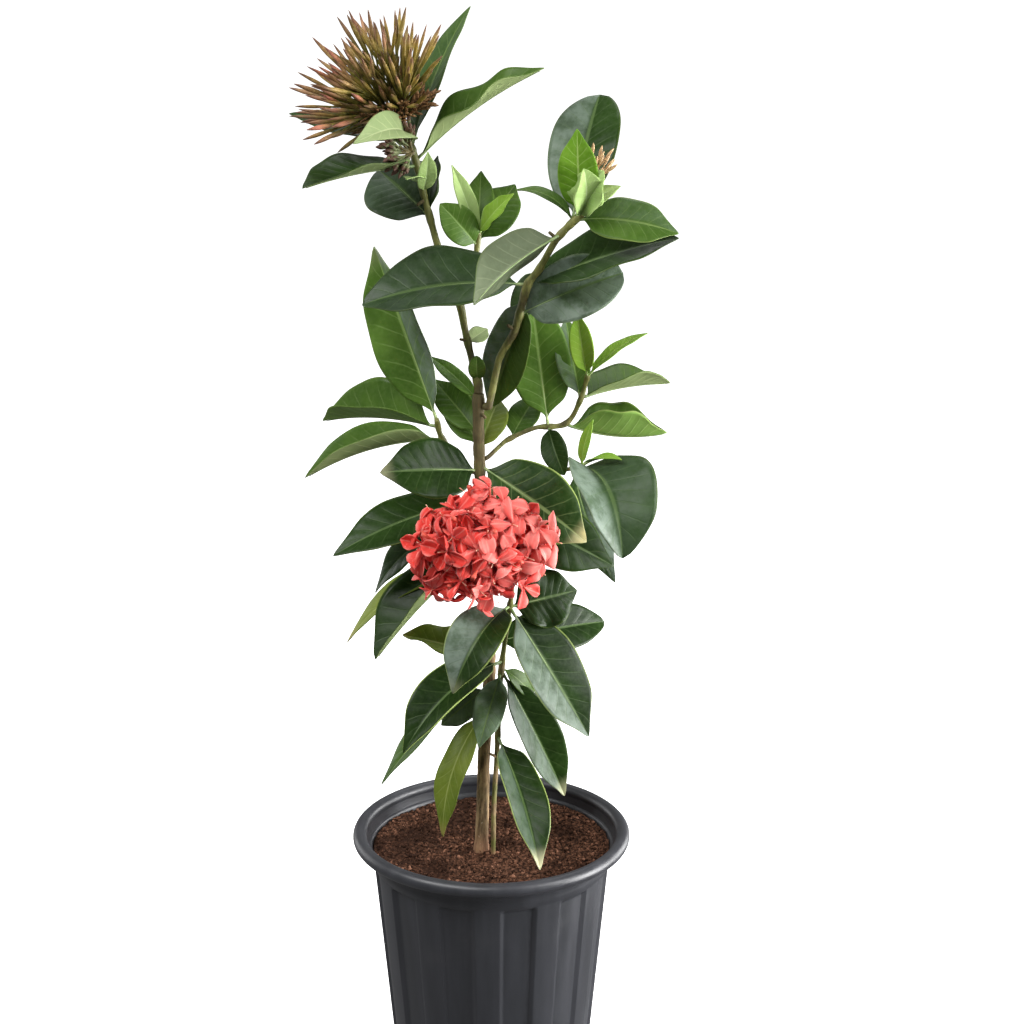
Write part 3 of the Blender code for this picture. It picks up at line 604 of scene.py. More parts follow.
def make_soil_earth():
    material = new_material("soil_earth_crumb", (0.07, 0.03, 0.019), 0.95, specular=0.06)
    tree = material.node_tree
    # painted shade: more dark blotches towards the left, where the rim shades the soil
    left_rim_shade = span(tree, own_axes(tree)["X"], 0.06, -0.07, -0.08, 0.07)
    shade_patches = math_node(tree, "ADD", grain(tree, 45.0, 4.0, 0.6), left_rim_shade)
    grains = grain(tree, 420.0, 3.0, 0.7)
    specks = grain(tree, 1300.0, 2.0, 0.6)
    tone = math_node(tree, "SUBTRACT", read(tree, "crumb_tone"), span(tree, shade_patches, 0.42, 0.68, 0.0, 0.45))
    colour = blend(tree, span(tree, grains, 0.38, 0.66), *EARTH_TONES)
    # painted shade in blotches, as in shadowed hollows; crumbs there are lightened less
    colour = tint(tree, colour, shade_patches, 0.42, 0.68, 0.75, EARTH_SHADE)
    colour = tint(tree, colour, tone, 0.35, 1.0, 0.75, EARTH_CRUMB)
    colour = tint(tree, colour, specks, 0.66, 0.74, 0.5, EARTH_SPECK)
    bumps = relief(tree, grains, 0.0006, 0.8)
    bumps = relief(tree, specks, 0.0003, 0.7, bumps)
    plug(tree, Base_Color=colour, Normal=bumps)
    return material


give(soil, make_soil_earth())
hand_over(soil, "soil")

# %% [markdown]
# ## Stems and leaves
#
# The next tables repeat the frame's stems and leaves: where each stem runs, and for each leaf its
# root, tip, width, the way its upper face looks, its arch and its fold. A last word gives the leaf's
# age, which sets its colour: old leaves are dark and glossy, young ones yellow-green, and the
# youngest pale as mint.

# %% Stem axes, as (x, y, z, radius) in millimetres
TRUNK = (
    (-7, -11, 132, 4.9), (-7, -11, 190, 4.9), (-6, -7, 222, 4.7), (-5, -2, 258, 4.6), (-2, 1, 293, 4.4),
    (-1, 3, 331, 4.2), (-2, 6, 370, 4.1), (-5, 7, 413, 4.0), (-7, 5, 453, 3.9), (-8, 2, 486, 3.7),
    (-8, 0, 508, 4.2), (-8, 0, 519, 3.8),
)
FRONT_SHOOT = (
    (1.5, -17, 142, 1.8), (1.5, -17, 190, 1.8), (2, -14, 222, 1.8), (4, -11, 258, 1.9), (6, -11, 296, 1.9),
    (7, -12, 320, 2.0), (10, -16, 347, 1.8), (13, -26, 373, 1.8), (15, -38, 390, 1.6),
    (15, -38, 396, 1.6),
)
LEFT_LEADER = (
    (-8, 0, 519.3, 3.2), (-8, 0, 525, 3.0), (-13, 1, 545, 2.4), (-17, 2, 563, 2.4), (-20, 2, 579, 3.0),
    (-29, 3, 603, 2.2), (-35, 3, 620, 2.5), (-43, 4, 650, 2.1), (-51, 4, 683, 2.3), (-58, 3, 694, 2.0),
    (-58, 3, 700, 2.0),
)
CENTRE_SHOOT = (
    (-18.6, 4.2, 582, 1.6), (-16.3, 6.1, 583, 1.6), (-10.5, 10.5, 599, 1.6), (-8, 13, 624, 1.7),
    (-8, 13, 630, 1.3),
)
RIGHT_LEADER = (
    (-4.1, -2.5, 511, 2.6), (-0.9, -4.6, 511, 2.6), (6, -9, 544, 2.4), (17, -17, 566, 2.8),
    (25, -26, 597, 2.7), (33, -30, 609, 2.2),
    (44, -35, 629, 2.3), (54, -38, 640, 2.2), (60, -40, 646, 2.2), (60, -40, 650, 2.0),
)
LEFT_BRANCH = (
    (-10.7, 6.5, 462, 1.6), (-13.2, 8.2, 462.5, 1.6), (-25, 16, 473, 1.8), (-34, 12, 486, 1.9),
    (-37, 6, 500, 1.5),
)
RIGHT_BRANCH = (
    (-4.2, 5.6, 472, 1.7), (-1.5, 7.4, 472.8, 1.6), (10, 15, 482, 1.6), (31, 18, 491, 1.6),
    (52, 18, 494, 1.8), (62, 16, 511, 1.6),
    (67, 14, 529, 1.5),
)
LOW_RIGHT_SHOOT = (
    (-3.4, 7.3, 452, 1.5), (-0.9, 9.0, 452, 1.5), (8, 11, 453, 1.5), (27, 8, 457, 1.4),
    (51, 1, 465, 1.4), (64, -6, 470, 1.5),
)
print("points on the trunk's axis:", len(TRUNK))

# %% Leaves of each stem, in millimetres and degrees
Leaf = namedtuple("Leaf", "name root tip width face bow fold age")
LEAVES = {
    "main_stem": (
        Leaf("e1", (-8, 4, 464), (-74, -30, 471), 45, (0.0, -0.85, 0.55), 0.05, 10, "old"),
        Leaf("e2", (-7, 5, 443), (-107, -28, 412), 40, (-0.1, -0.6, 0.8), 0.08, 12, "old"),
        Leaf("e3", (-5, 7, 420), (-80, -10, 380), 32, (-0.3, -0.35, 1.0), 0.20, 12, "old"),
        Leaf("e4", (-5, 7, 408), (-80, -22, 335), 58, (-0.58, -0.33, 0.75), 0.04, 43, "old"),
        Leaf("e5", (-4, 7, 398), (-103, 20, 333), 30, (-0.3, -0.3, 1.0), 0.12, 15, "olive"),
        Leaf("e6", (-1, 3, 328), (-64, 28, 336), 34, (0.0, -0.4, 1.0), 0.02, 32, "olive"),
        Leaf("d1", (-7, 4, 468), (66, -15, 418), 52, (0.1, -0.9, 0.45), 0.07, 8, "scorched"),
        Leaf("d2", (-7, 6, 441), (86, 0, 396), 48, (0.0, -0.8, 0.6), 0.05, 8, "old"),
        Leaf("g1", (-8, 0, 514), (-42, 25, 540), 14, (0.0, -0.5, 1.0), 0.05, 10, "fresh"),
        Leaf("g2a", (-8, 2, 490), (-40, 34, 522), 24, (0.2, -1.0, 0.3), 0.05, 10, "grown"),
        Leaf("g2b", (-8, 3, 480), (-29, 42, 515), 28, (0.2, -1.0, 0.3), 0.05, 10, "grown"),
        Leaf("g3a", (-8, 4, 478), (6, 44, 506), 26, (-0.2, -1.0, 0.5), 0.05, 10, "olive"),
        Leaf("h2", (-1, 3, 338), (82, 46, 340), 36, (-0.35, -0.85, 0.40), 0.08, 12, "old"),
        Leaf("h6", (-1, 3, 318), (-78, -14, 238), 32, (-0.6, -0.2, 0.75), 0.04, 16, "grown"),
        Leaf("h7", (-3, 2, 291), (-34, -34, 207), 23, (-0.5, -0.8, 0.3), 0.18, 8, "olive"),
        Leaf("h8b", (-2, 2, 306), (-36, 14, 272), 22, (0.0, -0.8, 0.5), 0.08, 8, "grown"),
    ),
    "front_shoot": (
        Leaf("h1", (14, -28, 375), (60, -8, 381), 42, (-0.1, -1.0, 0.35), 0.04, 8, "old"),
        Leaf("h3", (14, -28, 375), (68, -40, 285), 50, (0.60, -0.72, 0.33), 0.02, 16, "old"),
        Leaf("h4", (14, -28, 377), (-25, -68, 327), 41, (-0.44, -0.89, 0.15), 0.22, 24, "old"),
        Leaf("h5", (8, -13, 331), (-59, -66, 283), 41, (-0.66, -0.74, 0.12), 0.16, 30, "old"),
        Leaf("h8", (7, -12, 322), (-8, -46, 279), 22, (-0.1, -1.0, 0.3), 0.10, 8, "grown"),
        Leaf("h9", (7, -12, 324), (53, 8, 220), 37, (0.42, -0.83, 0.35), 0.03, 30, "old"),
        Leaf("h10", (3, -12, 274), (34, -84, 205), 36, (0.43, -0.76, 0.49), 0.06, 32, "old"),
        Leaf("h11", (7, -12, 326), (31, 4, 296), 14, (0.2, -0.7, 0.6), 0.10, 8, "grown"),
    ),
    "left_leader": (
        Leaf("l1", (-52, 4, 684), (-13, 46, 774), 40, (-0.85, -0.53, -0.07), 0.04, 13, "grown"),
        Leaf("l2", (-48, 4, 676), (36, -4, 736), 42, (-0.92, -0.12, 0.36), 0.05, 34, "grown"),
        Leaf("l3", (-53, 4, 687), (-137, 52, 703), 30, (0.0, -0.5, 1.0), 0.03, 10, "old"),
        Leaf("l4", (-53, 4, 688), (-85, -60, 692), 26, (-0.04, -0.91, 0.41), 0.19, 28, "pale"),
        Leaf("l5", (-50, 4, 672), (-118, -58, 664), 53, (0.04, 0.00, 1.00), 0.03, 24, "old"),
        Leaf("l6", (-42, 4, 637), (-76, 40, 666), 54, (0.2, -1.0, 0.4), 0.05, 8, "old"),
        Leaf("l6b", (-41, 4, 640), (-35, 25, 677), 24, (-0.8, -0.5, 0.3), 0.05, 10, "old"),
        Leaf("l7", (-44, 4, 655), (-40, -14, 683), 12, (0.3, -1.0, 0.2), 0.08, 15, "mint"),
        Leaf("l8", (-45, 4, 660), (-54, -22, 666), 11, (-0.2, -0.6, 0.8), 0.10, 10, "mint"),
        Leaf("g4", (-15, 2, 554), (-2, 20, 560), 13, (0.0, -0.9, 0.5), 0.05, 8, "pale"),
        Leaf("g5", (-8, 0, 528), (-9, -9, 547), 8, (0.0, -1.0, 0.3), 0.08, 8, "grown"),
    ),
    "centre_shoot": (
        Leaf("s1", (-8, 13, 618), (-33, -2, 648), 24, (0.1, -1.0, 0.3), 0.08, 10, "fresh"),
        Leaf("s2", (-8, 13, 624), (-25, 2, 673), 14, (0.3, -1.0, 0.2), 0.05, 25, "mint"),
        Leaf("s3", (-8, 13, 624), (-6, 34, 666), 20, (0.0, -1.0, 0.4), 0.05, 8, "grown"),
        Leaf("s4", (-8, 13, 626), (16, -6, 655), 15, (-0.4, -0.8, 0.6), 0.05, 20, "young"),
        Leaf("s5", (-8, 13, 620), (17, 42, 656), 30, (-0.1, -1.0, 0.4), 0.05, 8, "grown"),
    ),
    "right_leader": (
        Leaf("c1", (25, -26, 598), (-84, -26, 584), 62, (-0.05, -0.55, 0.83), 0.08, 20, "old"),
        Leaf("c2", (47, -36, 632), (-9, -92, 595), 42, (-0.80, 0.50, 0.10), 0.07, 36, "shaded_below"),
        Leaf("r1", (54, -38, 640), (73, 11, 718), 50, (-0.40, -0.91, 0.14), 0.06, 13, "old"),
        Leaf("r2", (59, -40, 646), (56, -56, 701), 27, (-0.15, -1.0, 0.1), 0.08, 14, "young"),
        Leaf("r3a", (58, -39, 644), (60, -64, 677), 16, (0.5, -1.0, 0.1), 0.14, 22, "mint"),
        Leaf("r3b", (58, -39, 644), (73, -56, 675), 16, (-0.4, -1.0, 0.3), 0.14, 22, "mint"),
        Leaf("r4", (57, -39, 643), (85, -36, 663), 15, (-0.5, -0.6, 0.8), 0.10, 12, "mint"),
        Leaf("r5", (55, -38, 641), (17, -30, 660), 14, (0.0, -0.3, 1.0), 0.17, 14, "grown"),
        Leaf("r6", (56, -38, 642), (122, -48, 634), 34, (0.1, -0.75, 0.65), 0.10, 8, "grown"),
        Leaf("r7", (25, -26, 596), (123, -40, 630), 56, (-0.30, -0.40, 0.87), 0.04, 16, "old"),
        Leaf("r8", (19, -20, 577), (88, -24, 605), 46, (0.0, -0.93, 0.36), 0.12, 24, "old"),
        Leaf("r9", (23, -24, 592), (0, 10, 508), 34, (-0.45, -0.88, 0.1), -0.02, 10, "grown"),
        Leaf("r11", (33, -30, 609), (16, 2, 566), 20, (0.0, -1.0, 0.1), -0.06, 8, "grown"),
    ),
    "left_branch": (
        Leaf("f1", (-36, 8, 496), (-78, 10, 618), 52, (-0.53, -0.85, 0.05), 0.0, 32, "fresh"),
        Leaf("f2", (-36, 9, 494), (-120, 58, 487), 59, (0.08, -0.47, 0.88), 0.06, 55, "pale_backed"),
        Leaf("f3", (-33, 12, 484), (-126, -17, 464), 38, (0.33, -0.03, 0.94), 0.08, 58, "grown"),
    ),
    "right_branch": (
        Leaf("m1", (67, 14, 528), (59, 4, 575), 18, (-0.2, -1.0, 0.2), 0.05, 22, "young"),
        Leaf("m2", (67, 14, 528), (108, 20, 557), 15, (-0.5, -0.3, 0.8), 0.08, 15, "young"),
        Leaf("m3", (63, 16, 513), (126, 45, 517), 54, (-0.32, -0.09, 0.94), 0.04, 32, "grown"),
        Leaf("m4", (52, 18, 494), (123, 24, 486), 59, (0.01, 0.02, 1.00), -0.07, 56, "pale_backed"),
        Leaf("m5", (62, 16, 511), (52, 38, 565), 24, (0.0, -1.0, 0.2), 0.05, 8, "fresh"),
        Leaf("m6", (40, 18, 492), (28, 30, 582), 44, (0.0, -1.0, 0.1), -0.03, 14, "fresh"),
        Leaf("g3b", (14, 16, 484), (32, 44, 508), 22, (-0.2, -1.0, 0.5), 0.05, 8, "grown"),
        Leaf("d3", (40, 18, 492), (51, -2, 462), 20, (-0.3, -1.0, 0.2), 0.08, 20, "old"),
    ),
    "low_right_shoot": (
        Leaf("n1a", (63, -5, 469), (70, -14, 504), 9, (-0.6, -0.8, 0.2), 0.08, 15, "young"),
        Leaf("n1b", (63, -5, 469), (88, -38, 482), 12, (0.0, -0.3, 1.0), 0.08, 18, "young"),
        Leaf("n2", (62, -5, 470), (88, -68, 422), 68, (0.31, -0.81, 0.49), 0.26, 34, "old"),
        Leaf("n3", (58, -3, 467), (89, 36, 373), 32, (0.2, -0.9, 0.3), -0.12, 8, "old"),
    ),
}
print("leaves:", sum(len(group) for group in LEAVES.values()))

# %% [markdown]
# No two leaves of the plant are alike. A seeded draw settles most of what sets one apart, and short
# tables hold what the photograph shows of single leaves, some painted sheen and painted shade among it.

# %% Leaf: what sets single leaves apart
# how bleached a margin and a tip are
USUAL_EDGE = 0.1
PALE_EDGES = {"h5": 0.9, "h10": 0.7, "d1": 0.8, "m4": 0.5, "h3": 0.4, "h4": 0.6, "g3b": 0.5, "e2": 0.3,
              "r6": 0.4}
CREAM_TIPS = {"h10": 0.9, "d1": 0.35, "h9": 0.5, "e1": 0.3, "h4": 0.2, "f1": 0.2}
# which half a thin grey film lies on, by its sign, with 0 for both halves, and how strong it is; the film
# is a painted sheen, in part also dust, and on some blades it lifts halves that lie in shade
SHEEN_FILMS = {"h4": (0.75, 0.95), "h3": (0.7, 0.70), "h9": (0.6, 0.50), "h10": (0.6, 0.35), "n2": (0.25, 1.0),
         "n3": (-0.7, 0.65), "c1": (0.0, 0.12), "f1": (0.7, 1.0), "r8": (0.0, 0.75), "h8": (0.0, 0.55),
         "l6": (0.0, 0.35), "l1": (0.0, 0.12), "r1": (-0.7, 0.7), "r9": (0.7, 1.0), "h8b": (0.0, 0.5),
         "m5": (-0.6, 0.9), "r6": (-0.6, 0.20), "c2": (0.7, 0.8), "r11": (0.0, 0.5)}
# how blunt a tip is, and how much wider a young blade opens than the table says
BLUNT_TIPS = {"r1": 1.0, "r8": 0.9, "c1": 0.3, "g5": 0.8, "n2": 0.4, "d3": 0.5, "e4": 0.3, "h2": 0.6,
              "l6": 0.5, "r9": 0.5, "s1": 0.4, "r3a": 0.5, "r3b": 0.5}
OPENED = {"r3a": 1.5, "r3b": 1.65, "g5": 1.5, "r4": 1.25, "l7": 1.15, "l8": 1.2}
# how light a blade is within its age, where the draw doesn't settle it; some of these are painted
# light and shade, lifting blades that lie in shade, as r9, and darkening blades that face the light, as h1
USUAL_TONES = (0.2, 0.8)
TONES = {"r2": 0.0, "h1": 0.0, "h2": 0.1, "h6": 0.0, "f2": 0.9, "f3": 0.6, "e1": 0.0, "d2": 0.0, "h3": 0.0,
         "h4": 0.2, "h5": 0.0, "h9": 0.4, "h10": 0.0, "l5": 0.3, "l2": 0.9, "r7": 0.4, "r6": 0.8, "m3": 0.8,
         "l1": 0.3, "n3": 0.0, "d1": 0.0, "d3": 0.0, "c1": 0.3, "g5": 0.9, "h8b": 0.9, "g2a": 0.7, "g2b": 0.6,
         "r9": 1.0, "r11": 1.0, "h11": 0.6, "m1": 1.0, "m2": 1.0, "m5": 1.0, "s2": 1.0, "s4": 1.0, "r4": 0.8,
         "n1b": 1.0, "n2": 1.0, "l6b": 0.8, "r8": 0.8, "s1": 0.5, "f1": 0.5, "c2": 0.3}
# how wavy a margin is, as a share of half the width
CALM_WAVE = 0.05
WAVES = {"l2": 0.16, "h8": 0.30, "e6": 0.22, "h1": 0.14, "e3": 0.12, "n2": 0.07, "h7": 0.14,
         "r3a": 0.18, "r3b": 0.18, "s4": 0.14, "h8b": 0.2}
print("leaves with a tone of their own:", len(TONES))

# %% [markdown]
# A blade is one thin sheet. A grid primitive has the right layout: rows run from the petiole to the
# tip, columns run across, and its UV map comes free, so a vein can be drawn at the same place in
# shape and in colour. Each vertex is then moved by the leaf's own rule: the frame's arch and fold,
# a soft wave along the margin, and the swelling between the side veins.

# %% Leaf: outline and surface
BLADE_COLUMNS = 16
BLADE_ROWS = 44
SMALL_BLADE_ROWS = 22
SMALL_BLADE_LENGTH = 0.050
PETIOLE_SHARE = 0.05
PETIOLE_HALF_WIDTH = 0.00078
TIP_HALF_WIDTH = 0.0003
WIDEST_LEAN = 0.92
FULLNESS = 0.66
TIP_START = 0.72
TIP_SHARPNESS = 0.42
BASE_TAPER = (-0.02, 0.16)
BLUNT_LEAN = 0.22
BLUNT_FILLING = 0.25
VEIN_PAIRS = 10
VEIN_SLOPE = 0.21
VEIN_BEND = 0.35
# height of the swellings between the veins, and where they rise and fade, across and along
QUILTING = 0.00042
QUILT_INNER = (0.0, 0.25)
QUILT_OUTER = (1.05, 0.7)
QUILT_START = (0.03, 0.2)
QUILT_END = (1.0, 0.8)
MIDRIB_GROOVE = 0.00045
MIDRIB_REACH = 0.0011
MIDRIB_END = (1.0, 0.7)
FULL_GROWN_WIDTH = 40.0
# the fold is rounded at the midrib, and the margins sag a little
FOLD_ROUNDING = 0.006
FOLD_DROP = 0.0775
MARGIN_SAG = 0.05
WAVE_POWER = 2.5
WAVE_COUNTS = (1.6, 2.6)


def nearest_on_axis(path, near):
    """The point of a stem's axis nearest to a given point, in metres."""
    near = Vector(near) * MM
    best = None
    for start, end in zip(path, path[1:]):
        a = Vector(start[:3]) * MM
        b = Vector(end[:3]) * MM
        share = (near - a).dot(b - a) / (b - a).length_squared
        point = a.lerp(b, min(max(share, 0.0), 1.0))
        if best is None or (point - near).length < (best - near).length:
            best = point
    return best


def half_width(share, width, blunt):
    """Half the blade's width at a share of its length, from petiole to pointed or blunt tip."""
    if share <= PETIOLE_SHARE:
        return PETIOLE_HALF_WIDTH
    along = (share - PETIOLE_SHARE) / (1.0 - PETIOLE_SHARE)
    lean = WIDEST_LEAN + BLUNT_LEAN * blunt
    fullness = FULLNESS * (1.0 - BLUNT_FILLING * blunt)
    swell = math.sin(math.pi * along ** lean) ** fullness if along < 1.0 else 0.0
    swell *= 1.0 - TIP_SHARPNESS * (1.0 - blunt) * ease(TIP_START, 1.0, along)
    swell *= ease(*BASE_TAPER, along)
    least = PETIOLE_HALF_WIDTH + (TIP_HALF_WIDTH - PETIOLE_HALF_WIDTH) * along
    return max(0.5 * width * swell, least)


def vein_turns(share, across):
    """Counts up by one from each side vein to the next."""
    return VEIN_PAIRS * (share - VEIN_SLOPE * across * (1.0 - VEIN_BEND * across))


class LeafForm:
    """Where each point of one blade lies, from the leaf's entry in the table."""

    def __init__(self, leaf, path, chance):
        self.leaf = leaf
        self.root = nearest_on_axis(path, leaf.root)
        self.chord = Vector(leaf.tip) * MM - self.root
        self.length = self.chord.length
        self.along = self.chord.normalized()
        face = Vector(leaf.face)
        self.up = (face - self.along * face.dot(self.along)).normalized()
        self.side = self.along.cross(self.up)
        self.fold = math.radians(leaf.fold)
        self.blunt = BLUNT_TIPS.get(leaf.name, 0.0)
        self.width = leaf.width * MM * OPENED.get(leaf.name, 1.0)
        self.wave = WAVES.get(leaf.name, CALM_WAVE)
        self.phases = [chance.uniform(0.0, WHOLE_TURN) for _ in range(2)]
        self.waves = chance.uniform(*WAVE_COUNTS)

    def spine(self, share):
        rise = self.leaf.bow * self.length * 4.0 * share * (1.0 - share)
        tilt = self.leaf.bow * 4.0 * (1.0 - 2.0 * share)
        upward = (self.up - self.along * tilt).normalized()
        return self.root + self.chord * share + self.up * rise, upward

    def point(self, share, across):
        """across runs from -1 at one margin to 1 at the other."""
        middle, upward = self.spine(share)
        half = half_width(share, self.width, self.blunt)
        away = abs(across)
        fold_line = math.sqrt(away * away + FOLD_ROUNDING) - FOLD_DROP
        lift = fold_line * half * math.sin(self.fold)
        lift -= MARGIN_SAG * half * away * away
        phase = self.phases[0] if across > 0.0 else self.phases[1]
        lift += self.wave * half * away ** WAVE_POWER * math.sin(self.waves * WHOLE_TURN * share + phase)
        size = min(1.0, self.leaf.width / FULL_GROWN_WIDTH)
        swelling = 0.5 - 0.5 * math.cos(WHOLE_TURN * vein_turns(share, away))
        swelling *= ease(*QUILT_INNER, away) * ease(*QUILT_OUTER, away) * ease(*QUILT_START, share)
        lift += QUILTING * size * swelling * ease(*QUILT_END, share)
        groove = math.exp(-(across * half / MIDRIB_REACH) ** 2)
        lift -= MIDRIB_GROOVE * size * groove * ease(*MIDRIB_END, share)
        return middle + self.side * (across * half * math.cos(self.fold)) + upward * lift


print("side veins of a blade:", 2 * VEIN_PAIRS)

# %% [markdown]
# One leaf is built in three steps. The sheet is shaped, and Solidify makes two faces of it, the lower
# one with a material of its own. The midrib, which carries on from the petiole, is laid below it as a
# thin tube. Then the two are joined, and carry the leaf's own numbers for the materials to read.

# %% Leaf: blade and midrib
BLADE_THICKNESS = 0.00055
RIB_STEPS = 16
RIB_END = 0.97
RIB_SINK = 0.0006
RIB_RADIUS = 0.0013
RIB_SLIMMING = 0.0005
RIB_NECK = (0.03, 0.14)
RIB_TAPER = 0.72
RIB_LEAST = 0.45
RIB_FULL_WIDTH = 60.0


def rib_radius(share, width):
    """The midrib thins out towards the tip, and is thinner on a small leaf."""
    radius = RIB_RADIUS - RIB_SLIMMING * ease(*RIB_NECK, share)
    return radius * (min(1.0, RIB_LEAST + width / RIB_FULL_WIDTH) * (1.0 - RIB_TAPER * share))


def build_leaf(leaf, path, chance):
    """Blade with two faces, and the midrib that runs on below it from the petiole."""
    form = LeafForm(leaf, path, chance)
    rows = BLADE_ROWS if form.length > SMALL_BLADE_LENGTH else SMALL_BLADE_ROWS
    deselect()
    bpy.ops.mesh.primitive_grid_add(x_subdivisions=BLADE_COLUMNS, y_subdivisions=rows, size=1.0)
    blade = bpy.context.object
    blade.name = leaf.name
    for vertex in blade.data.vertices:
        vertex.co = form.point(vertex.co.y + 0.5, vertex.co.x * 2.0)
    give(blade, *LEAF_SKINS[leaf.age])
    solid = blade.modifiers.new("thickness", "SOLIDIFY")
    solid.thickness = BLADE_THICKNESS
    solid.offset = 0.0
    solid.material_offset = 1
    solid.material_offset_rim = 0
    apply_modifier(blade, solid)
    rib_points = []
    for index in range(RIB_STEPS + 1):
        share = RIB_END * index / RIB_STEPS
        middle, upward = form.spine(share)
        sink = RIB_SINK * ease(0.0, 0.1, share)
        rib_points.append((*(middle - upward * sink), rib_radius(share, leaf.width)))
    rib = tube(leaf.name + "_rib", rib_points, 6)
    give(rib, RIB_SKINS[leaf.age])
    usual = chance.uniform(*USUAL_TONES)
    whole = join(leaf.name, [blade, rib])
    side, strength = SHEEN_FILMS.get(leaf.name, (0.0, 0.0))
    mark_all(whole, leaf_shade=TONES.get(leaf.name, usual), leaf_edge=PALE_EDGES.get(leaf.name, USUAL_EDGE),
             leaf_tip=CREAM_TIPS.get(leaf.name, 0.0), leaf_film=strength, leaf_film_side=side)
    return whole


print("rows along a blade:", BLADE_ROWS, "and across:", BLADE_COLUMNS)

# %% [markdown]
# A leaf skin is one recipe with different colours. It reads the blade's UV map: how far a point is
# from the midrib, and where it lies between two side veins. Veins are paler and a little sunken
# above, and raised below. The waxy upper face takes a thin clear coat, and the lower one is matt.

# %% Leaf: skins
CREAM = (0.560, 0.540, 0.330)
EDGE_GREEN = (0.300, 0.380, 0.110)
# the grey of the painted sheen, laid as a film
SHEEN_FILM_GREY = (0.185, 0.235, 0.190)


def leaf_lines(tree):
    """Shares of midrib, side vein, margin and tip at a point, and its place across the blade."""
    sheet = tree.nodes.new("ShaderNodeUVMap")
    parts = add(tree, "ShaderNodeSeparateXYZ", {"Vector": sheet.outputs["UV"]}).outputs
    centred = math_node(tree, "MULTIPLY_ADD", parts["X"], 2.0, -1.0)
    away = math_node(tree, "ABSOLUTE", centred)
    bend = math_node(tree, "MULTIPLY_ADD", away, -VEIN_BEND, 1.0)
    lead = times(tree, times(tree, away, VEIN_SLOPE), bend)
    turns = times(tree, math_node(tree, "SUBTRACT", parts["Y"], lead), VEIN_PAIRS)
    wander = times(tree, grain(tree, 110.0, 2.0), 0.16)
    gap = math_node(tree, "PINGPONG", math_node(tree, "ADD", turns, wander), 0.5)
    vein = times(tree, span(tree, gap, 0.075, 0.015), span(tree, away, 0.96, 0.55, 0.15, 1.0))
    midrib = span(tree, away, 0.075, 0.025)
    margin = span(tree, away, 0.945, 0.985)
    return midrib, vein, margin, span(tree, parts["Y"], 0.84, 0.99), centred


def sheen_film_share(tree, across):
    """How much of the patchy grey film, a painted sheen in part also dust, lies at a point of an upper face.
    """
    side = read(tree, "leaf_film_side")
    one_side = span(tree, times(tree, across, side), 0.0, 0.12)
    both = span(tree, math_node(tree, "ABSOLUTE", side), 0.3, 0.1)
    cover = math_node(tree, "MAXIMUM", one_side, both)
    patchy = span(tree, grain(tree, 75.0, 4.0, 0.65), 0.32, 0.62, 0.35, 1.0)
    return times(tree, times(tree, cover, patchy), read(tree, "leaf_film"))


def make_leaf_skin(name, deep, light, vein_colour, roughness, coat, vein_strength,
                   tip_colour=None, tip_share=0.0, upper=True):
    material = new_material(name, deep, roughness, 0.10, coat, 0.30)
    tree = material.node_tree
    midrib, vein, margin, tip, across = leaf_lines(tree)
    cloud = grain(tree, 26.0, 4.0, 0.6)
    mottle = grain(tree, 330.0, 3.0, 0.6)
    shade = times(tree, read(tree, "leaf_shade"), 0.4)
    share = math_node(tree, "ADD", span(tree, cloud, 0.3, 0.72, 0.0, 0.65), shade)
    colour = blend(tree, share, deep, light)
    colour = tint(tree, colour, mottle, 0.35, 0.75, 0.10, vein_colour)
    if upper:
        # painted sheen: the grey film stands for a reflection on one half of the blade, or on both
        colour = blend(tree, times(tree, sheen_film_share(tree, across), 0.8), colour, SHEEN_FILM_GREY)
    colour = blend(tree, times(tree, vein, vein_strength), colour, vein_colour)
    colour = blend(tree, times(tree, midrib, 0.75), colour, vein_colour)
    colour = blend(tree, times(tree, margin, read(tree, "leaf_edge")), colour, EDGE_GREEN)
    cream = times(tree, tip, span(tree, cloud, 0.25, 0.5, 0.4, 1.0))
    colour = blend(tree, times(tree, cream, read(tree, "leaf_tip")), colour, CREAM)
    if tip_colour:
        patchy = times(tree, tip, span(tree, cloud, 0.35, 0.6))
        colour = blend(tree, times(tree, patchy, tip_share), colour, tip_colour)
    rough = span(tree, mottle, 0.2, 0.8, roughness - 0.07, roughness + 0.09)
    lines = math_node(tree, "MAXIMUM", vein, midrib)
    height = math_node(tree, "SUBTRACT", 1.0, lines) if upper else lines
    bumps = relief(tree, height, 0.00035, 0.30)
    bumps = relief(tree, cloud, 0.0016, 0.35, bumps)
    bumps = relief(tree, mottle, 0.00022, 0.35, bumps)
    plug(tree, Base_Color=colour, Roughness=rough, Normal=bumps)
    return material


def make_rib_skin(name, deep, light):
    material = new_material(name, deep, 0.5)
    tree = material.node_tree
    colour = blend(tree, span(tree, grain(tree, 160.0, 3.0), 0.3, 0.7), deep, light)
    plug(tree, Base_Color=colour, Normal=relief(tree, grain(tree, 600.0), 0.0002, 0.3))
    return material


print("tints laid over a blade:", CREAM, EDGE_GREEN, SHEEN_FILM_GREY)

# %% [markdown]
# Eight upper faces and five lower ones serve all the ages, from the nearly black green of old leaves
# to the mint of the youngest. Each age names its two faces.

# %% Leaf: colours of each age
SCORCH = (0.240, 0.210, 0.060)
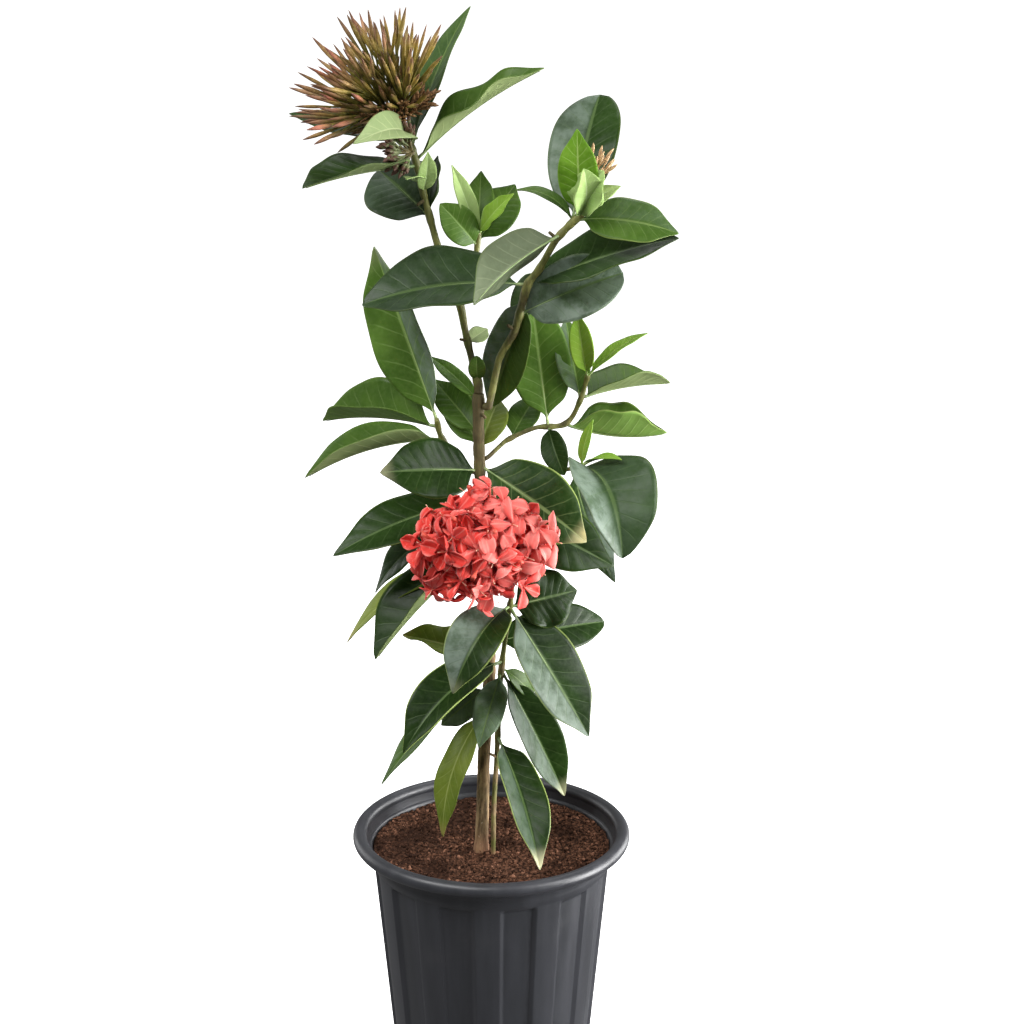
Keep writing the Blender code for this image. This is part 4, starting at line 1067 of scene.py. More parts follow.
# for each face: deep, light and vein colour, roughness, coat, vein strength, then a scorched tip's
# colour and share
UPPER_FACES = {
    "dark": ((0.0055, 0.0150, 0.0022), (0.0190, 0.046, 0.0065), (0.075, 0.120, 0.040), 0.33, 0.05, 0.20),
    "mid": ((0.018, 0.048, 0.0050), (0.060, 0.115, 0.0160), (0.140, 0.205, 0.062), 0.36, 0.05, 0.25),
    "fresh": ((0.038, 0.090, 0.0100), (0.105, 0.200, 0.030), (0.240, 0.360, 0.110), 0.42, 0.05, 0.32),
    "olive": ((0.060, 0.098, 0.0100), (0.160, 0.200, 0.026), (0.240, 0.280, 0.080), 0.45, 0.03, 0.25,
              SCORCH, 0.8),
    "young": ((0.085, 0.200, 0.010), (0.230, 0.385, 0.045), (0.360, 0.500, 0.140), 0.44, 0.04, 0.35),
    "mint": ((0.210, 0.330, 0.090), (0.380, 0.510, 0.190), (0.470, 0.590, 0.290), 0.50, 0.02, 0.30),
    "pale": ((0.180, 0.245, 0.100), (0.310, 0.375, 0.180), (0.420, 0.480, 0.260), 0.52, 0.02, 0.40),
    "scorched_tip": ((0.0065, 0.019, 0.0028), (0.0210, 0.051, 0.0080), (0.140, 0.190, 0.070), 0.38, 0.06,
                     0.30, (0.480, 0.430, 0.190), 1.0),
}
LOWER_FACES = {
    "grey": ((0.125, 0.175, 0.060), (0.225, 0.285, 0.115), (0.340, 0.400, 0.190), 0.60, 0.0, 0.45),
    "green": ((0.110, 0.210, 0.035), (0.190, 0.320, 0.070), (0.320, 0.440, 0.150), 0.58, 0.0, 0.45),
    "pale": ((0.270, 0.390, 0.140), (0.430, 0.540, 0.250), (0.520, 0.620, 0.340), 0.60, 0.0, 0.40),
    # painted shade: a darker copy of the lower face, for a blade whose lower face lies in shade
    "shaded": ((0.055, 0.072, 0.036), (0.120, 0.145, 0.085), (0.190, 0.220, 0.130), 0.55, 0.0, 0.30),
    "olive": ((0.120, 0.160, 0.030), (0.210, 0.240, 0.060), (0.320, 0.350, 0.130), 0.60, 0.0, 0.40,
              SCORCH, 0.6),
}
# the upper and the lower face
AGES = {
    "old": ("dark", "grey"),
    "grown": ("mid", "grey"),
    "fresh": ("fresh", "green"),
    "olive": ("olive", "olive"),
    "young": ("young", "pale"),
    "mint": ("mint", "pale"),
    "scorched": ("scorched_tip", "grey"),
    "pale_backed": ("mid", "green"),
    "pale": ("pale", "pale"),
    # painted shade on the lower face
    "shaded_below": ("mid", "shaded"),
}
tops = {face: make_leaf_skin("leaf_top_" + face, *recipe) for face, recipe in UPPER_FACES.items()}
unders = {face: make_leaf_skin("leaf_under_" + face, *recipe, upper=False)
          for face, recipe in LOWER_FACES.items()}
LEAF_SKINS = {age: (tops[top], unders[under]) for age, (top, under) in AGES.items()}
RIB_GREY = make_rib_skin("rib_grey_green", (0.130, 0.200, 0.065), (0.230, 0.300, 0.120))
RIB_PALE = make_rib_skin("rib_pale_green", (0.300, 0.420, 0.150), (0.460, 0.560, 0.260))
RIB_SKINS = {age: RIB_PALE if age in ("young", "mint", "fresh") else RIB_GREY for age in LEAF_SKINS}
print("leaf skins:", len(tops), "upper and", len(unders), "lower")

# %% [markdown]
# The stems are wood low down and green at the ends. Each is a tube with a swelling where a pair of
# leaves sits, roughened by noise: deep and ridged on the old bark, hardly at all on green shoots. A
# number on every vertex says how woody it is, and one material reads it to go from bark to green.

# %% Stems
STEM_SIDES = 16
STEM_STEP = 1.6
NODE_SWELL = 0.00055
NODE_REACH = 0.0035
FOOT_FLARE = 0.0009
FLARE_HEIGHT = 0.187
FLARE_REACH = 0.006
RIDGE_HEIGHT = 0.00030
RIDGE_CLOSENESS = 260.0
RIDGE_STRETCH = 0.22
RIDGE_MEAN = 0.8
WART_HEIGHT = 0.00012
WART_CLOSENESS = 700.0
TWIG_RADII = (0.0014, 0.0010)
# dry ends of old side twigs, from the stem's axis to their tips, in millimetres
TWIG_ENDS = {
    "left_leader": (((-43, 4, 650), (-48, -1, 647)), ((-15, 2, 555), (-20, -3, 557)),
                    ((-29, 3, 603), (-26, -2, 605))),
    "right_leader": (((44, -35, 629), (39, -41, 634)), ((17, -17, 566), (12, -22, 570))),
    "main_stem": (((-2, 1, 293), (-9, -5, 298)), ((-8, 0, 508), (-3, -5, 503))),
    "front_shoot": (((6, -11, 296), (11, -16, 300)), ((4, -11, 258), (-1, -15, 262))),
}
# how woody each stem is, at its lower and its upper end
WOODINESS = {
    "main_stem": (1.0, 0.85),
    "front_shoot": (0.58, 0.40),
    "left_leader": (0.44, 0.08),
    "centre_shoot": (0.20, 0.05),
    "right_leader": (0.46, 0.18),
    "left_branch": (0.45, 0.10),
    "right_branch": (0.55, 0.25),
    "low_right_shoot": (0.80, 0.45),
}


def build_stem(name, path, leaves):
    """The tube with its swellings, its bark and a mark for how woody it is; the trunk flares at its foot."""
    points = [(x * MM, y * MM, z * MM, r * MM) for x, y, z, r in smooth_path(path, STEM_STEP)]
    roots = [nearest_on_axis(path, leaf.root) for leaf in leaves]
    shaped = []
    for x, y, z, radius in points:
        here = Vector((x, y, z))
        near = sum(math.exp(-((here - root).length / NODE_REACH) ** 2) for root in roots)
        swell = NODE_SWELL * min(near, 1.0)
        if name == "main_stem":
            swell += FOOT_FLARE * math.exp(-((z - FLARE_HEIGHT) / FLARE_REACH) ** 2)
        shaped.append((x, y, z, radius + swell))
    stem = tube(name, shaped, STEM_SIDES)
    low, high = WOODINESS[name]
    foot, top = points[0][2], points[-1][2]
    woody = []
    normals = [vertex.normal.copy() for vertex in stem.data.vertices]
    for vertex, normal in zip(stem.data.vertices, normals):
        share = min(max((vertex.co.z - foot) / (top - foot), 0.0), 1.0)
        wood = low + (high - low) * share
        woody.append(wood)
        place = vertex.co * RIDGE_CLOSENESS
        place.z *= RIDGE_STRETCH
        ridges = noise.turbulence(place, 3, True) - RIDGE_MEAN
        warts = noise.noise(vertex.co * WART_CLOSENESS)
        vertex.co += normal * (wood * (RIDGE_HEIGHT * ridges + WART_HEIGHT * warts))
    mark(stem, "woody", woody)
    give(stem, STEM_SKIN)
    return stem


print("stems:", len(WOODINESS))

# %% [markdown]
# Old bark is grey-brown with paler warts, darker and more olive higher up, and reddish where it
# meets the soil. The same recipe goes over to green where the stem is young.

# %% Stems: bark
BARK_TONES = ((0.075, 0.048, 0.022), (0.330, 0.220, 0.112))
BARK_ALGAE = (0.105, 0.088, 0.034)
BARK_WART = (0.380, 0.290, 0.190)
BARK_ABOVE = (0.058, 0.050, 0.018)
BARK_FOOT = (0.300, 0.150, 0.085)
SHOOT_TONES = ((0.080, 0.090, 0.018), (0.190, 0.190, 0.052))


def make_stem_skin():
    material = new_material("stem_bark_to_green", (0.12, 0.08, 0.04), 0.7, specular=0.35)
    tree = material.node_tree
    wood = read(tree, "woody")
    streaks = grain(tree, 300.0, 4.0, 0.65, (1.0, 1.0, 0.18))
    blotches = grain(tree, 70.0, 4.0, 0.6)
    warts = grain(tree, 520.0, 2.0, 0.5)
    height = own_axes(tree)["Z"]
    bark = blend(tree, span(tree, streaks, 0.34, 0.66), *BARK_TONES)
    bark = tint(tree, bark, blotches, 0.5, 0.75, 0.45, BARK_ALGAE)
    bark = tint(tree, bark, warts, 0.66, 0.74, 0.6, BARK_WART)
    bark = tint(tree, bark, height, 0.30, 0.44, 0.85, BARK_ABOVE)
    bark = tint(tree, bark, height, 0.205, 0.188, 0.6, BARK_FOOT)
    green = blend(tree, span(tree, streaks, 0.3, 0.7), *SHOOT_TONES)
    edge = math_node(tree, "ADD", wood, span(tree, blotches, 0.3, 0.7, -0.28, 0.28))
    colour = blend(tree, span(tree, edge, 0.22, 0.78), green, bark)
    rough = span(tree, wood, 0.0, 1.0, 0.48, 0.85)
    bumps = relief(tree, streaks, 0.0005, 0.6)
    bumps = relief(tree, warts, 0.0003, 0.4, bumps)
    plug(tree, Base_Color=colour, Roughness=rough, Normal=bumps)
    return material


STEM_SKIN = make_stem_skin()
print("stem skin:", STEM_SKIN.name)

# %% [markdown]
# A stem and all its leaves make one piece, as they are one solid in the frame. Each stem's draw of
# waves and shades has its own seed, so changing one stem leaves the others as they are.

# %% Put the leafy stems together
STEM_PATHS = {
    "main_stem": TRUNK,
    "front_shoot": FRONT_SHOOT,
    "left_leader": LEFT_LEADER,
    "centre_shoot": CENTRE_SHOOT,
    "right_leader": RIGHT_LEADER,
    "left_branch": LEFT_BRANCH,
    "right_branch": RIGHT_BRANCH,
    "low_right_shoot": LOW_RIGHT_SHOOT,
}


def leafy_stem(node, seed):
    chance = random.Random(seed)
    leaves = LEAVES[node]
    parts = [build_stem(node, STEM_PATHS[node], leaves)]
    for number, ends in enumerate(TWIG_ENDS.get(node, ())):
        line = [(*(Vector(end) * MM), radius) for end, radius in zip(ends, TWIG_RADII)]
        twig = tube("%s_twig_%d" % (node, number), line, 6)
        mark_all(twig, woody=1.0)
        give(twig, STEM_SKIN)
        parts.append(twig)
    for leaf in leaves:
        parts.append(build_leaf(leaf, STEM_PATHS[node], chance))
    return join(node + "_with_leaves", parts)


leafy = {node: leafy_stem(node, 100 + number) for number, node in enumerate(STEM_PATHS)}
for node in STEM_PATHS:
    if node != "left_leader":
        hand_over(leafy[node], node)

# %% [markdown]
# ## The bloom
#
# Each floret is a thread-thin tube that opens into four rounded petals. A petal is a small grid,
# rounded, cupped across and bent back along its length. Eight florets are modelled, each with its
# own bends, and the dome is filled with copies of them.

# %% Bloom: floret templates
PETAL_LENGTH = 0.0158
PETAL_HALF_WIDTH = 0.0051
PETAL_THICKNESS = 0.0004
PETAL_COLUMNS = 4
PETAL_ROWS = 6
PETAL_SHOULDER = 0.58
PETAL_FOOT_SHARE = 0.22
PETAL_LEAST_HALF_WIDTH = 0.0004
# bend of the whole petal, then how far it is cupped across, for each template
FLORET_BENDS = ((0.25, 0.45), (0.80, -0.55), (1.30, 0.55), (1.90, -0.60), (2.30, -0.45), (-0.50, 0.80),
                (1.60, 0.75), (1.05, -0.70))
EYE_RADIUS = 0.0010
PETAL_ROUNDING = 2.2
# how far a petal strays from its floret's bend and cup, in length, and by small turns in radians
OWN_BENDS = (-0.55, 0.65)
CUP_GAIN = 1.25
OWN_CUPS = (-0.40, 0.40)
OWN_LENGTHS = (0.84, 1.12)
OWN_LEANS = (-0.35, 0.45)
OWN_TWISTS = (-0.6, 0.6)
OWN_TURNS = (-0.28, 0.28)
# shares of a thread's length where it starts to widen and where it is widest
THREAD_SWELL = (0.7, 0.95)


def petal_point(share, across, bend, cup):
    """A petal along +X from the floret's eye; bend is its total turn down, in radians."""
    turn = bend * share
    reach = PETAL_LENGTH * share
    straight = abs(turn) < 0.001
    out = EYE_RADIUS + reach * (1.0 if straight else math.sin(turn) / turn)
    down = 0.0 if straight else reach * (1.0 - math.cos(turn)) / turn
    past = max(0.0, (share - PETAL_SHOULDER) / (1.0 - PETAL_SHOULDER))
    round_end = max(0.0, 1.0 - past ** PETAL_ROUNDING) ** 0.5
    widening = PETAL_FOOT_SHARE + (1.0 - PETAL_FOOT_SHARE) * ease(0.0, PETAL_SHOULDER, share)
    half = max(PETAL_HALF_WIDTH * widening * round_end, PETAL_LEAST_HALF_WIDTH)
    hollow = cup * half * across * across
    return Vector((out + hollow * math.sin(turn), half * across, hollow * math.cos(turn) - down))


def floret_template(number, bend, cup, chance):
    petals = []
    for index in range(4):
        deselect()
        bpy.ops.mesh.primitive_grid_add(x_subdivisions=PETAL_ROWS, y_subdivisions=PETAL_COLUMNS, size=1.0)
        petal = bpy.context.object
        own_bend = bend + chance.uniform(*OWN_BENDS)
        own_cup = cup * CUP_GAIN + chance.uniform(*OWN_CUPS)
        length = chance.uniform(*OWN_LENGTHS)
        lean = chance.uniform(*OWN_LEANS)
        shares = []
        for vertex in petal.data.vertices:
            share = vertex.co.x + 0.5
            shares.append(share)
            vertex.co = petal_point(share, vertex.co.y * 2.0, own_bend, own_cup) * length
        mark(petal, "petal_along", shares)
        mark_all(petal, petal_own=chance.random())
        mark(petal, "petal_across", [abs(vertex.co.y) / PETAL_HALF_WIDTH for vertex in petal.data.vertices])
        twist = Matrix.Rotation(chance.uniform(*OWN_TWISTS), 4, "X") @ Matrix.Rotation(lean, 4, "Y")
        place = Matrix.Rotation(index * WHOLE_TURN / 4 + chance.uniform(*OWN_TURNS), 4, "Z")
        petal.data.transform(place @ twist)
        petals.append(petal)
    floret = join("floret_%d" % number, petals)
    solid = floret.modifiers.new("thickness", "SOLIDIFY")
    solid.thickness = PETAL_THICKNESS
    solid.offset = 0.0
    apply_modifier(floret, solid)
    give(floret, PETAL_SKIN)
    return floret


def thread_template(name, sides, foot, mouth):
    """A slender unit-length tube along +Z, a little wider at its mouth."""
    low, high = THREAD_SWELL
    return tube(name, [(0, 0, 0, foot), (0, 0, low, foot), (0, 0, high, mouth), (0, 0, 1.0, mouth)], sides)


print("floret forms:", len(FLORET_BENDS))

# %% [markdown]
# A petal is like velvet: light goes a little way into it, and it has a faint sheen. Painted shade
# deepens it to dark red at the throat, where the florets crowd, and a painted highlight runs along its
# crease; it is pinker at the rim and in streaks, and pinker towards the right of the bloom. The slender
# parts share one plain recipe of two tones.

# %% Bloom: petals and threads
PETAL_TONES = ((0.620, 0.030, 0.020), (0.870, 0.215, 0.185))
PETAL_THROAT_SHADE = (0.430, 0.010, 0.008)
PETAL_RIM = (0.930, 0.360, 0.310)
PETAL_CREASE_HIGHLIGHT = (0.940, 0.420, 0.360)
PETAL_CLOUD = (0.850, 0.070, 0.045)
PETAL_STREAK = (0.950, 0.440, 0.370)


def make_petal_skin():
    material = new_material("petal_coral_velvet", (0.75, 0.085, 0.075), 0.55, specular=0.3)
    shader = material.node_tree.nodes["Principled BSDF"]
    shader.inputs["Subsurface Weight"].default_value = 0.18
    shader.inputs["Subsurface Radius"].default_value = (0.004, 0.0012, 0.0010)
    shader.inputs["Subsurface Scale"].default_value = 0.5
    shader.inputs["Sheen Weight"].default_value = 0.15
    tree = material.node_tree
    along = read(tree, "petal_along")
    across = read(tree, "petal_across")
    own = times(tree, math_node(tree, "SUBTRACT", read(tree, "petal_own"), 0.5), 0.55)
    tone = math_node(tree, "ADD", read(tree, "petal_tone"), own)
    clouds = grain(tree, 150.0, 3.0, 0.6)
    fine = grain(tree, 900.0, 3.0, 0.6)
    streaks = grain(tree, 420.0, 3.0, 0.7, (1.0, 1.0, 0.35))
    colour = blend(tree, span(tree, tone, 0.0, 1.0), *PETAL_TONES)
    # painted shade: darker towards the throat, where the florets crowd together
    colour = tint(tree, colour, along, 0.42, 0.05, 0.80, PETAL_THROAT_SHADE)
    colour = tint(tree, colour, across, 0.70, 1.05, 0.40, PETAL_RIM)
    # painted highlight along the petal's crease
    colour = tint(tree, colour, across, 0.16, 0.0, 0.30, PETAL_CREASE_HIGHLIGHT)
    colour = tint(tree, colour, clouds, 0.45, 0.75, 0.40, PETAL_CLOUD)
    colour = tint(tree, colour, streaks, 0.58, 0.75, 0.40, PETAL_STREAK)
    rough = span(tree, fine, 0.2, 0.8, 0.46, 0.64)
    plug(tree, Base_Color=colour, Roughness=rough, Normal=relief(tree, fine, 0.0003, 0.35))
    return material


def make_plain_skin(name, deep, light, roughness=0.55, specular=0.35, bud_tip=None):
    """Two tones mixed by fine noise, and a colour for a bud's tip where one is given."""
    material = new_material(name, deep, roughness, specular=specular)
    tree = material.node_tree
    fine = grain(tree, 500.0, 3.0, 0.6)
    colour = blend(tree, span(tree, fine, 0.3, 0.7), deep, light)
    if bud_tip:
        colour = tint(tree, colour, read(tree, "bud_along"), 0.62, 0.85, 0.9, bud_tip)
    plug(tree, Base_Color=colour, Normal=relief(tree, fine, 0.0003, 0.3))
    return material


PETAL_SKIN = make_petal_skin()
TUBE_SKIN = make_plain_skin("floret_tube_red", (0.480, 0.050, 0.030), (0.700, 0.120, 0.080))
THREAD_SKIN = make_plain_skin("floret_thread_pale", (0.800, 0.360, 0.250), (0.900, 0.600, 0.420))
BLOOM_STALK_SKIN = make_plain_skin("bloom_stalk_green", (0.100, 0.140, 0.040), (0.200, 0.210, 0.080))
print("bloom skins:", PETAL_SKIN.name, TUBE_SKIN.name, THREAD_SKIN.name, BLOOM_STALK_SKIN.name)

# %% [markdown]
# The dome follows the frame's: the same centre, reach and axis, and the tubes meet at the same hub
# over the front shoot. The golden angle sets the florets out, so that no two sit in a row, and a
# table adds those that stand out of the dome. A small core inside, as in the frame, closes the
# view between petals, and its dark red is painted shade.

# %% Bloom: fill the dome
BLOOM_CENTRE = Vector((-0.007, -0.052, 0.427))
BLOOM_REACH = Vector((0.050, 0.030, 0.043))
BLOOM_HUB = Vector((0.002, -0.045, 0.418))
BLOOM_AXIS = Vector((0.0, -0.92, 0.40))
BLOOM_SPREAD = 0.55
BLOOM_CORE = 0.56
CORE_LUMP_HEIGHT = 0.12
CORE_LUMPS = 7.0
# the dome is a little flatter past this on its left
LEFT_EDGE = -0.4
LEFT_SHARE = 0.90
FLORET_COUNT = 88
FLORET_DEPTHS = (0.86, 0.66, 0.80, 0.56)
DEPTH_STRAY = 0.06
FLORET_SIZES = (0.86, 1.10)
DROOP_PULL = Vector((0.0, -0.10, -0.70))
DROOP_SHARES = (0.2, 1.4)
FACING_STRAY = 0.8
# pinkness at the bloom's middle, what its reach to the right adds, and how far single florets stray
PINK_MIDDLE = 0.28
PINK_GAIN = 0.38
PINK_STRAY = 0.30
TUBE_START = 0.45
GOLDEN_ANGLE = math.pi * (3.0 - math.sqrt(5.0))
UNOPENED_COUNT = 14
UNOPENED_SPREAD = 0.35
UNOPENED_DEPTH = 0.55
UNOPENED_LENGTHS = (0.014, 0.022)
UNOPENED_STRAY = 0.35
STYLE_LENGTHS = (0.004, 0.008)
STYLE_STRAY = 0.3
# for each slender part: name, sides, and its radius at foot and mouth
THREADS = (("floret_tube", 6, 0.0007, 0.0011), ("floret_style", 4, 0.00022, 0.00042),
           ("floret_bud", 6, 0.0008, 0.0017))
STALK_RISE = 0.006
HUB_RADIUS = 0.0018
STALK_GAP = 0.0003
# florets that stand out of the dome: their eyes in millimetres, facing, size, pinkness and template
EDGE_FLORETS = (
    ((-31, -62, 450), (-0.20, -0.60, 0.80), 1.15, 0.30, 3),
    ((-45, -60, 438), (-0.40, -0.45, 0.80), 1.15, 0.30, 3),
    ((-14, -63, 449), (-0.05, -0.55, 0.90), 1.10, 0.25, 3),
    ((4, -62, 448), (0.10, -0.60, 0.80), 1.00, 0.60, 1),
    ((21, -62, 449), (0.35, -0.50, 0.80), 1.00, 0.75, 2),
    ((-45, -60, 406), (-0.65, -0.65, -0.25), 1.10, 0.15, 6),
    ((-38, -63, 399), (-0.40, -0.75, -0.45), 1.05, 0.10, 2),
    ((-27, -62, 391), (-0.25, -0.55, -0.80), 1.05, 0.10, 3),
    ((-12, -66, 397), (0.00, -0.70, -0.70), 1.10, 0.25, 2),
    ((1, -66, 399), (0.15, -0.70, -0.60), 1.10, 0.35, 0),
    ((17, -64, 404), (0.30, -0.70, -0.55), 1.00, 0.75, 2),
    ((32, -62, 441), (0.55, -0.60, 0.55), 1.05, 0.90, 6),
    ((43, -60, 432), (0.75, -0.60, 0.10), 1.20, 1.00, 1),
    ((36, -62, 417), (0.55, -0.65, -0.50), 1.05, 0.95, 2),
    ((-8, -78, 431), (-0.10, -0.95, 0.10), 1.10, 0.25, 1),
    ((-16, -76, 424), (-0.25, -0.90, -0.20), 1.05, 0.20, 3),
    ((0, -77, 424), (0.15, -0.90, -0.30), 1.10, 0.40, 2),
    ((-12, -74, 412), (-0.10, -0.80, -0.50), 1.10, 0.20, 7),
    ((2, -74, 411), (0.10, -0.80, -0.50), 1.10, 0.35, 3),
)


def dome_way(index, count, spread, frame_turn):
    """The direction of one of many places, spread evenly over a dome."""
    height = 1.0 - (1.0 + spread) * (index + 0.5) / count
    ring = math.sqrt(max(0.0, 1.0 - height * height))
    turn = index * GOLDEN_ANGLE
    return (frame_turn @ Vector((ring * math.cos(turn), ring * math.sin(turn), height))).normalized()


def in_dome(way, depth):
    return BLOOM_CENTRE + Vector([way[i] * BLOOM_REACH[i] * depth for i in range(3)])


def bloom_core():
    deselect()
    bpy.ops.mesh.primitive_ico_sphere_add(subdivisions=3, radius=BLOOM_CORE)
    core = bpy.context.object
    for vertex in core.data.vertices:
        vertex.co *= 1.0 + CORE_LUMP_HEIGHT * noise.noise(vertex.co * CORE_LUMPS)
    core.data.transform(Matrix.Translation(BLOOM_CENTRE) @ Matrix.Diagonal((*BLOOM_REACH, 1.0)))
    give(core, PETAL_SKIN)
    # painted shade: the core takes the petals' darkest throat colour and no crease highlight
    mark_all(core, petal_tone=0.0, petal_along=0.0, petal_own=0.0, petal_across=0.5)
    return core


def floret_spots(chance, turned):
    """Place, facing, size, pinkness and form of every floret."""
    spots = []
    for index in range(FLORET_COUNT):
        way = dome_way(index, FLORET_COUNT, BLOOM_SPREAD, turned)
        depth = FLORET_DEPTHS[index % len(FLORET_DEPTHS)] + chance.uniform(-DEPTH_STRAY, DEPTH_STRAY)
        spot = in_dome(way, depth * LEFT_SHARE if way.x < LEFT_EDGE else depth)
        facing = way + (spot - BLOOM_HUB).normalized() + DROOP_PULL * chance.uniform(*DROOP_SHARES)
        facing = facing.normalized() + jitter(chance, FACING_STRAY)
        pinkness = PINK_MIDDLE + PINK_GAIN * (spot.x - BLOOM_CENTRE.x) / BLOOM_REACH.x
        pinkness += chance.uniform(-PINK_STRAY, PINK_STRAY)
        form = chance.randrange(len(FLORET_BENDS))
        spots.append((spot, facing, chance.uniform(*FLORET_SIZES), pinkness, form))
    for place, facing, size, pinkness, form in EDGE_FLORETS:
        spots.append((Vector(place) * MM, Vector(facing), size, pinkness, form))
    return spots


def build_bloom():
    chance = random.Random(41)
    x, y, top, radius = (value * MM for value in FRONT_SHOOT[-1])
    foot = top + STALK_GAP
    line = [(x, y, foot, radius), (x, y, foot + STALK_RISE, radius), (*BLOOM_HUB, HUB_RADIUS)]
    stalk = tube("bloom_stalk", line, 8)
    give(stalk, BLOOM_STALK_SKIN)
    parts = [stalk, bloom_core()]
    templates = [floret_template(n, bend, cup, chance) for n, (bend, cup) in enumerate(FLORET_BENDS)]
    slender, style, unopened = [thread_template(*thread) for thread in THREADS]
    for thread, skin in ((slender, TUBE_SKIN), (style, THREAD_SKIN), (unopened, TUBE_SKIN)):
        give(thread, skin)
    turned = aim(BLOOM_AXIS)
    for index, (spot, facing, size, pinkness, form) in enumerate(floret_spots(chance, turned)):
        matrix = Matrix.Translation(spot) @ aim(facing, chance.uniform(0.0, WHOLE_TURN))
        floret = copy_of(templates[form], matrix @ Matrix.Scale(size, 4), "floret_%03d" % index)
        mark_all(floret, petal_tone=min(max(pinkness, 0.0), 1.0))
        start = BLOOM_HUB + (spot - BLOOM_HUB) * TUBE_START
        matrix = reaching(start, spot - start, (spot - start).length + STALK_GAP)
        parts += [floret, copy_of(slender, matrix, "floret_tube_%03d" % index)]
        if index % 2 == 0:
            way = facing.normalized() + jitter(chance, STYLE_STRAY)
            matrix = reaching(spot, way, chance.uniform(*STYLE_LENGTHS))
            parts.append(copy_of(style, matrix, "floret_style_%03d" % index))
    for index in range(UNOPENED_COUNT):
        way = dome_way(index, UNOPENED_COUNT, UNOPENED_SPREAD, turned)
        lean = way + jitter(chance, UNOPENED_STRAY)
        matrix = reaching(in_dome(way, UNOPENED_DEPTH), lean, chance.uniform(*UNOPENED_LENGTHS))
        parts.append(copy_of(unopened, matrix, "floret_bud_%03d" % index))
    for template in templates + [slender, style, unopened]:
        drop(template)
    return join("coral_bloom", parts)


hand_over(build_bloom(), "bloom")

# %% [markdown]
# ## The buds
#
# An unopened floret is a spindle: a thin tube that swells near its end and closes in a point. The
# tall head on the left leader holds hundreds of them on a fan of short stalks, and smaller sprays
# sit beside it and on the right leader. One spindle is modelled and copied, and three numbers on its
# vertices say how far along the bud they lie, how blushed it is and how deep in the shade.

# %% Buds: one spindle
BUD_PROFILE = ((0.44, 0.0), (0.46, 0.25), (0.56, 0.42), (0.80, 0.58), (1.0, 0.72), (0.96, 0.80),
               (0.66, 0.90), (0.36, 0.965), (0.10, 1.0))
BUD_RADIUS = 0.00150
BUD_LOW_TONES = ((0.036, 0.040, 0.004), (0.200, 0.180, 0.022))
BUD_RIPE_TONES = ((0.235, 0.165, 0.026), (0.400, 0.190, 0.110))
BUD_STREAK = (0.620, 0.420, 0.190)
BUD_BLUSH = (0.740, 0.230, 0.160)
BUD_POINT = (0.130, 0.056, 0.036)
BUD_SHADE = (0.048, 0.038, 0.008)


def bud_template(skin):
    points = [(0.0, 0.0, height, radius * BUD_RADIUS) for radius, height in BUD_PROFILE]
    bud = tube("bud", points, 8)
    mark(bud, "bud_along", [vertex.co.z for vertex in bud.data.vertices])
    give(bud, skin)
    return bud


def make_bud_skin():
    material = new_material("bud_olive_to_salmon", (0.33, 0.15, 0.08), 0.55, specular=0.35)
    tree = material.node_tree
    along = read(tree, "bud_along")
    blush = read(tree, "bud_blush")
    streaks = grain(tree, 260.0, 3.0, 0.6)
    low = blend(tree, span(tree, streaks, 0.3, 0.7), *BUD_LOW_TONES)
    ripe = blend(tree, span(tree, blush, 0.25, 0.9), *BUD_RIPE_TONES)
    ripe = tint(tree, ripe, streaks, 0.48, 0.75, 0.60, BUD_STREAK)
    ripe = tint(tree, ripe, blush, 0.90, 1.0, 0.8, BUD_BLUSH)
    reach = math_node(tree, "SUBTRACT", along, times(tree, blush, 0.22))
    colour = blend(tree, span(tree, reach, 0.25, 0.75), low, ripe)
    colour = tint(tree, colour, along, 0.78, 0.96, 0.85, BUD_POINT)
    colour = tint(tree, colour, read(tree, "bud_dim"), 0.40, 1.0, 0.60, BUD_SHADE)
    plug(tree, Base_Color=colour, Normal=relief(tree, streaks, 0.0003, 0.4))
    return material


BUD_SKIN = make_bud_skin()
STUB_SKIN = make_plain_skin("bud_stub_grey_green", (0.075, 0.090, 0.030), (0.250, 0.280, 0.130), 0.6, 0.3,
                            (0.110, 0.045, 0.036))
DARK_BUD_SKIN = make_plain_skin("bud_short_brown", (0.085, 0.042, 0.014), (0.370, 0.200, 0.090))
TAN_BUD_SKIN = make_plain_skin("bud_stick_tan", (0.330, 0.190, 0.085), (0.640, 0.440, 0.240))
BUD_STALK_SKIN = make_plain_skin("bud_stalk_brown_green", (0.050, 0.048, 0.014), (0.150, 0.110, 0.040))
print("bud skins:", BUD_SKIN.name, STUB_SKIN.name, DARK_BUD_SKIN.name, TAN_BUD_SKIN.name)

# %% [markdown]
# A spray is a foot, a fan of stalks and a fan of buds on each. The frame's own stalks carry the tall
# buds, more of them than its solid could hold. Short dark buds sit in a dense bunch low in the head,
# and a bunch of grey-green stubs grows from the side of the leader, just under it.

# %% Buds: sprays
# for each stalk: its direction, and its length in millimetres
HEAD_STALKS = (
    (-1.00, -0.35, 0.05, 26), (-1.00, -0.05, 0.32, 28), (-0.90, -0.65, 0.35, 24),
    (-0.85, -0.10, 0.62, 29), (-0.66, -0.60, 0.65, 27), (-0.52, 0.00, 0.95, 31),
    (-0.28, -0.45, 1.00, 31), (-0.10, 0.00, 1.00, 29), (0.12, -0.75, 0.70, 22),
    (0.20, -0.35, 0.85, 21),
)
RIGHT_STALKS = ((0.22, -0.25, 1.00, 28), (0.38, -0.25, 1.00, 27), (0.60, -0.25, 1.00, 22))
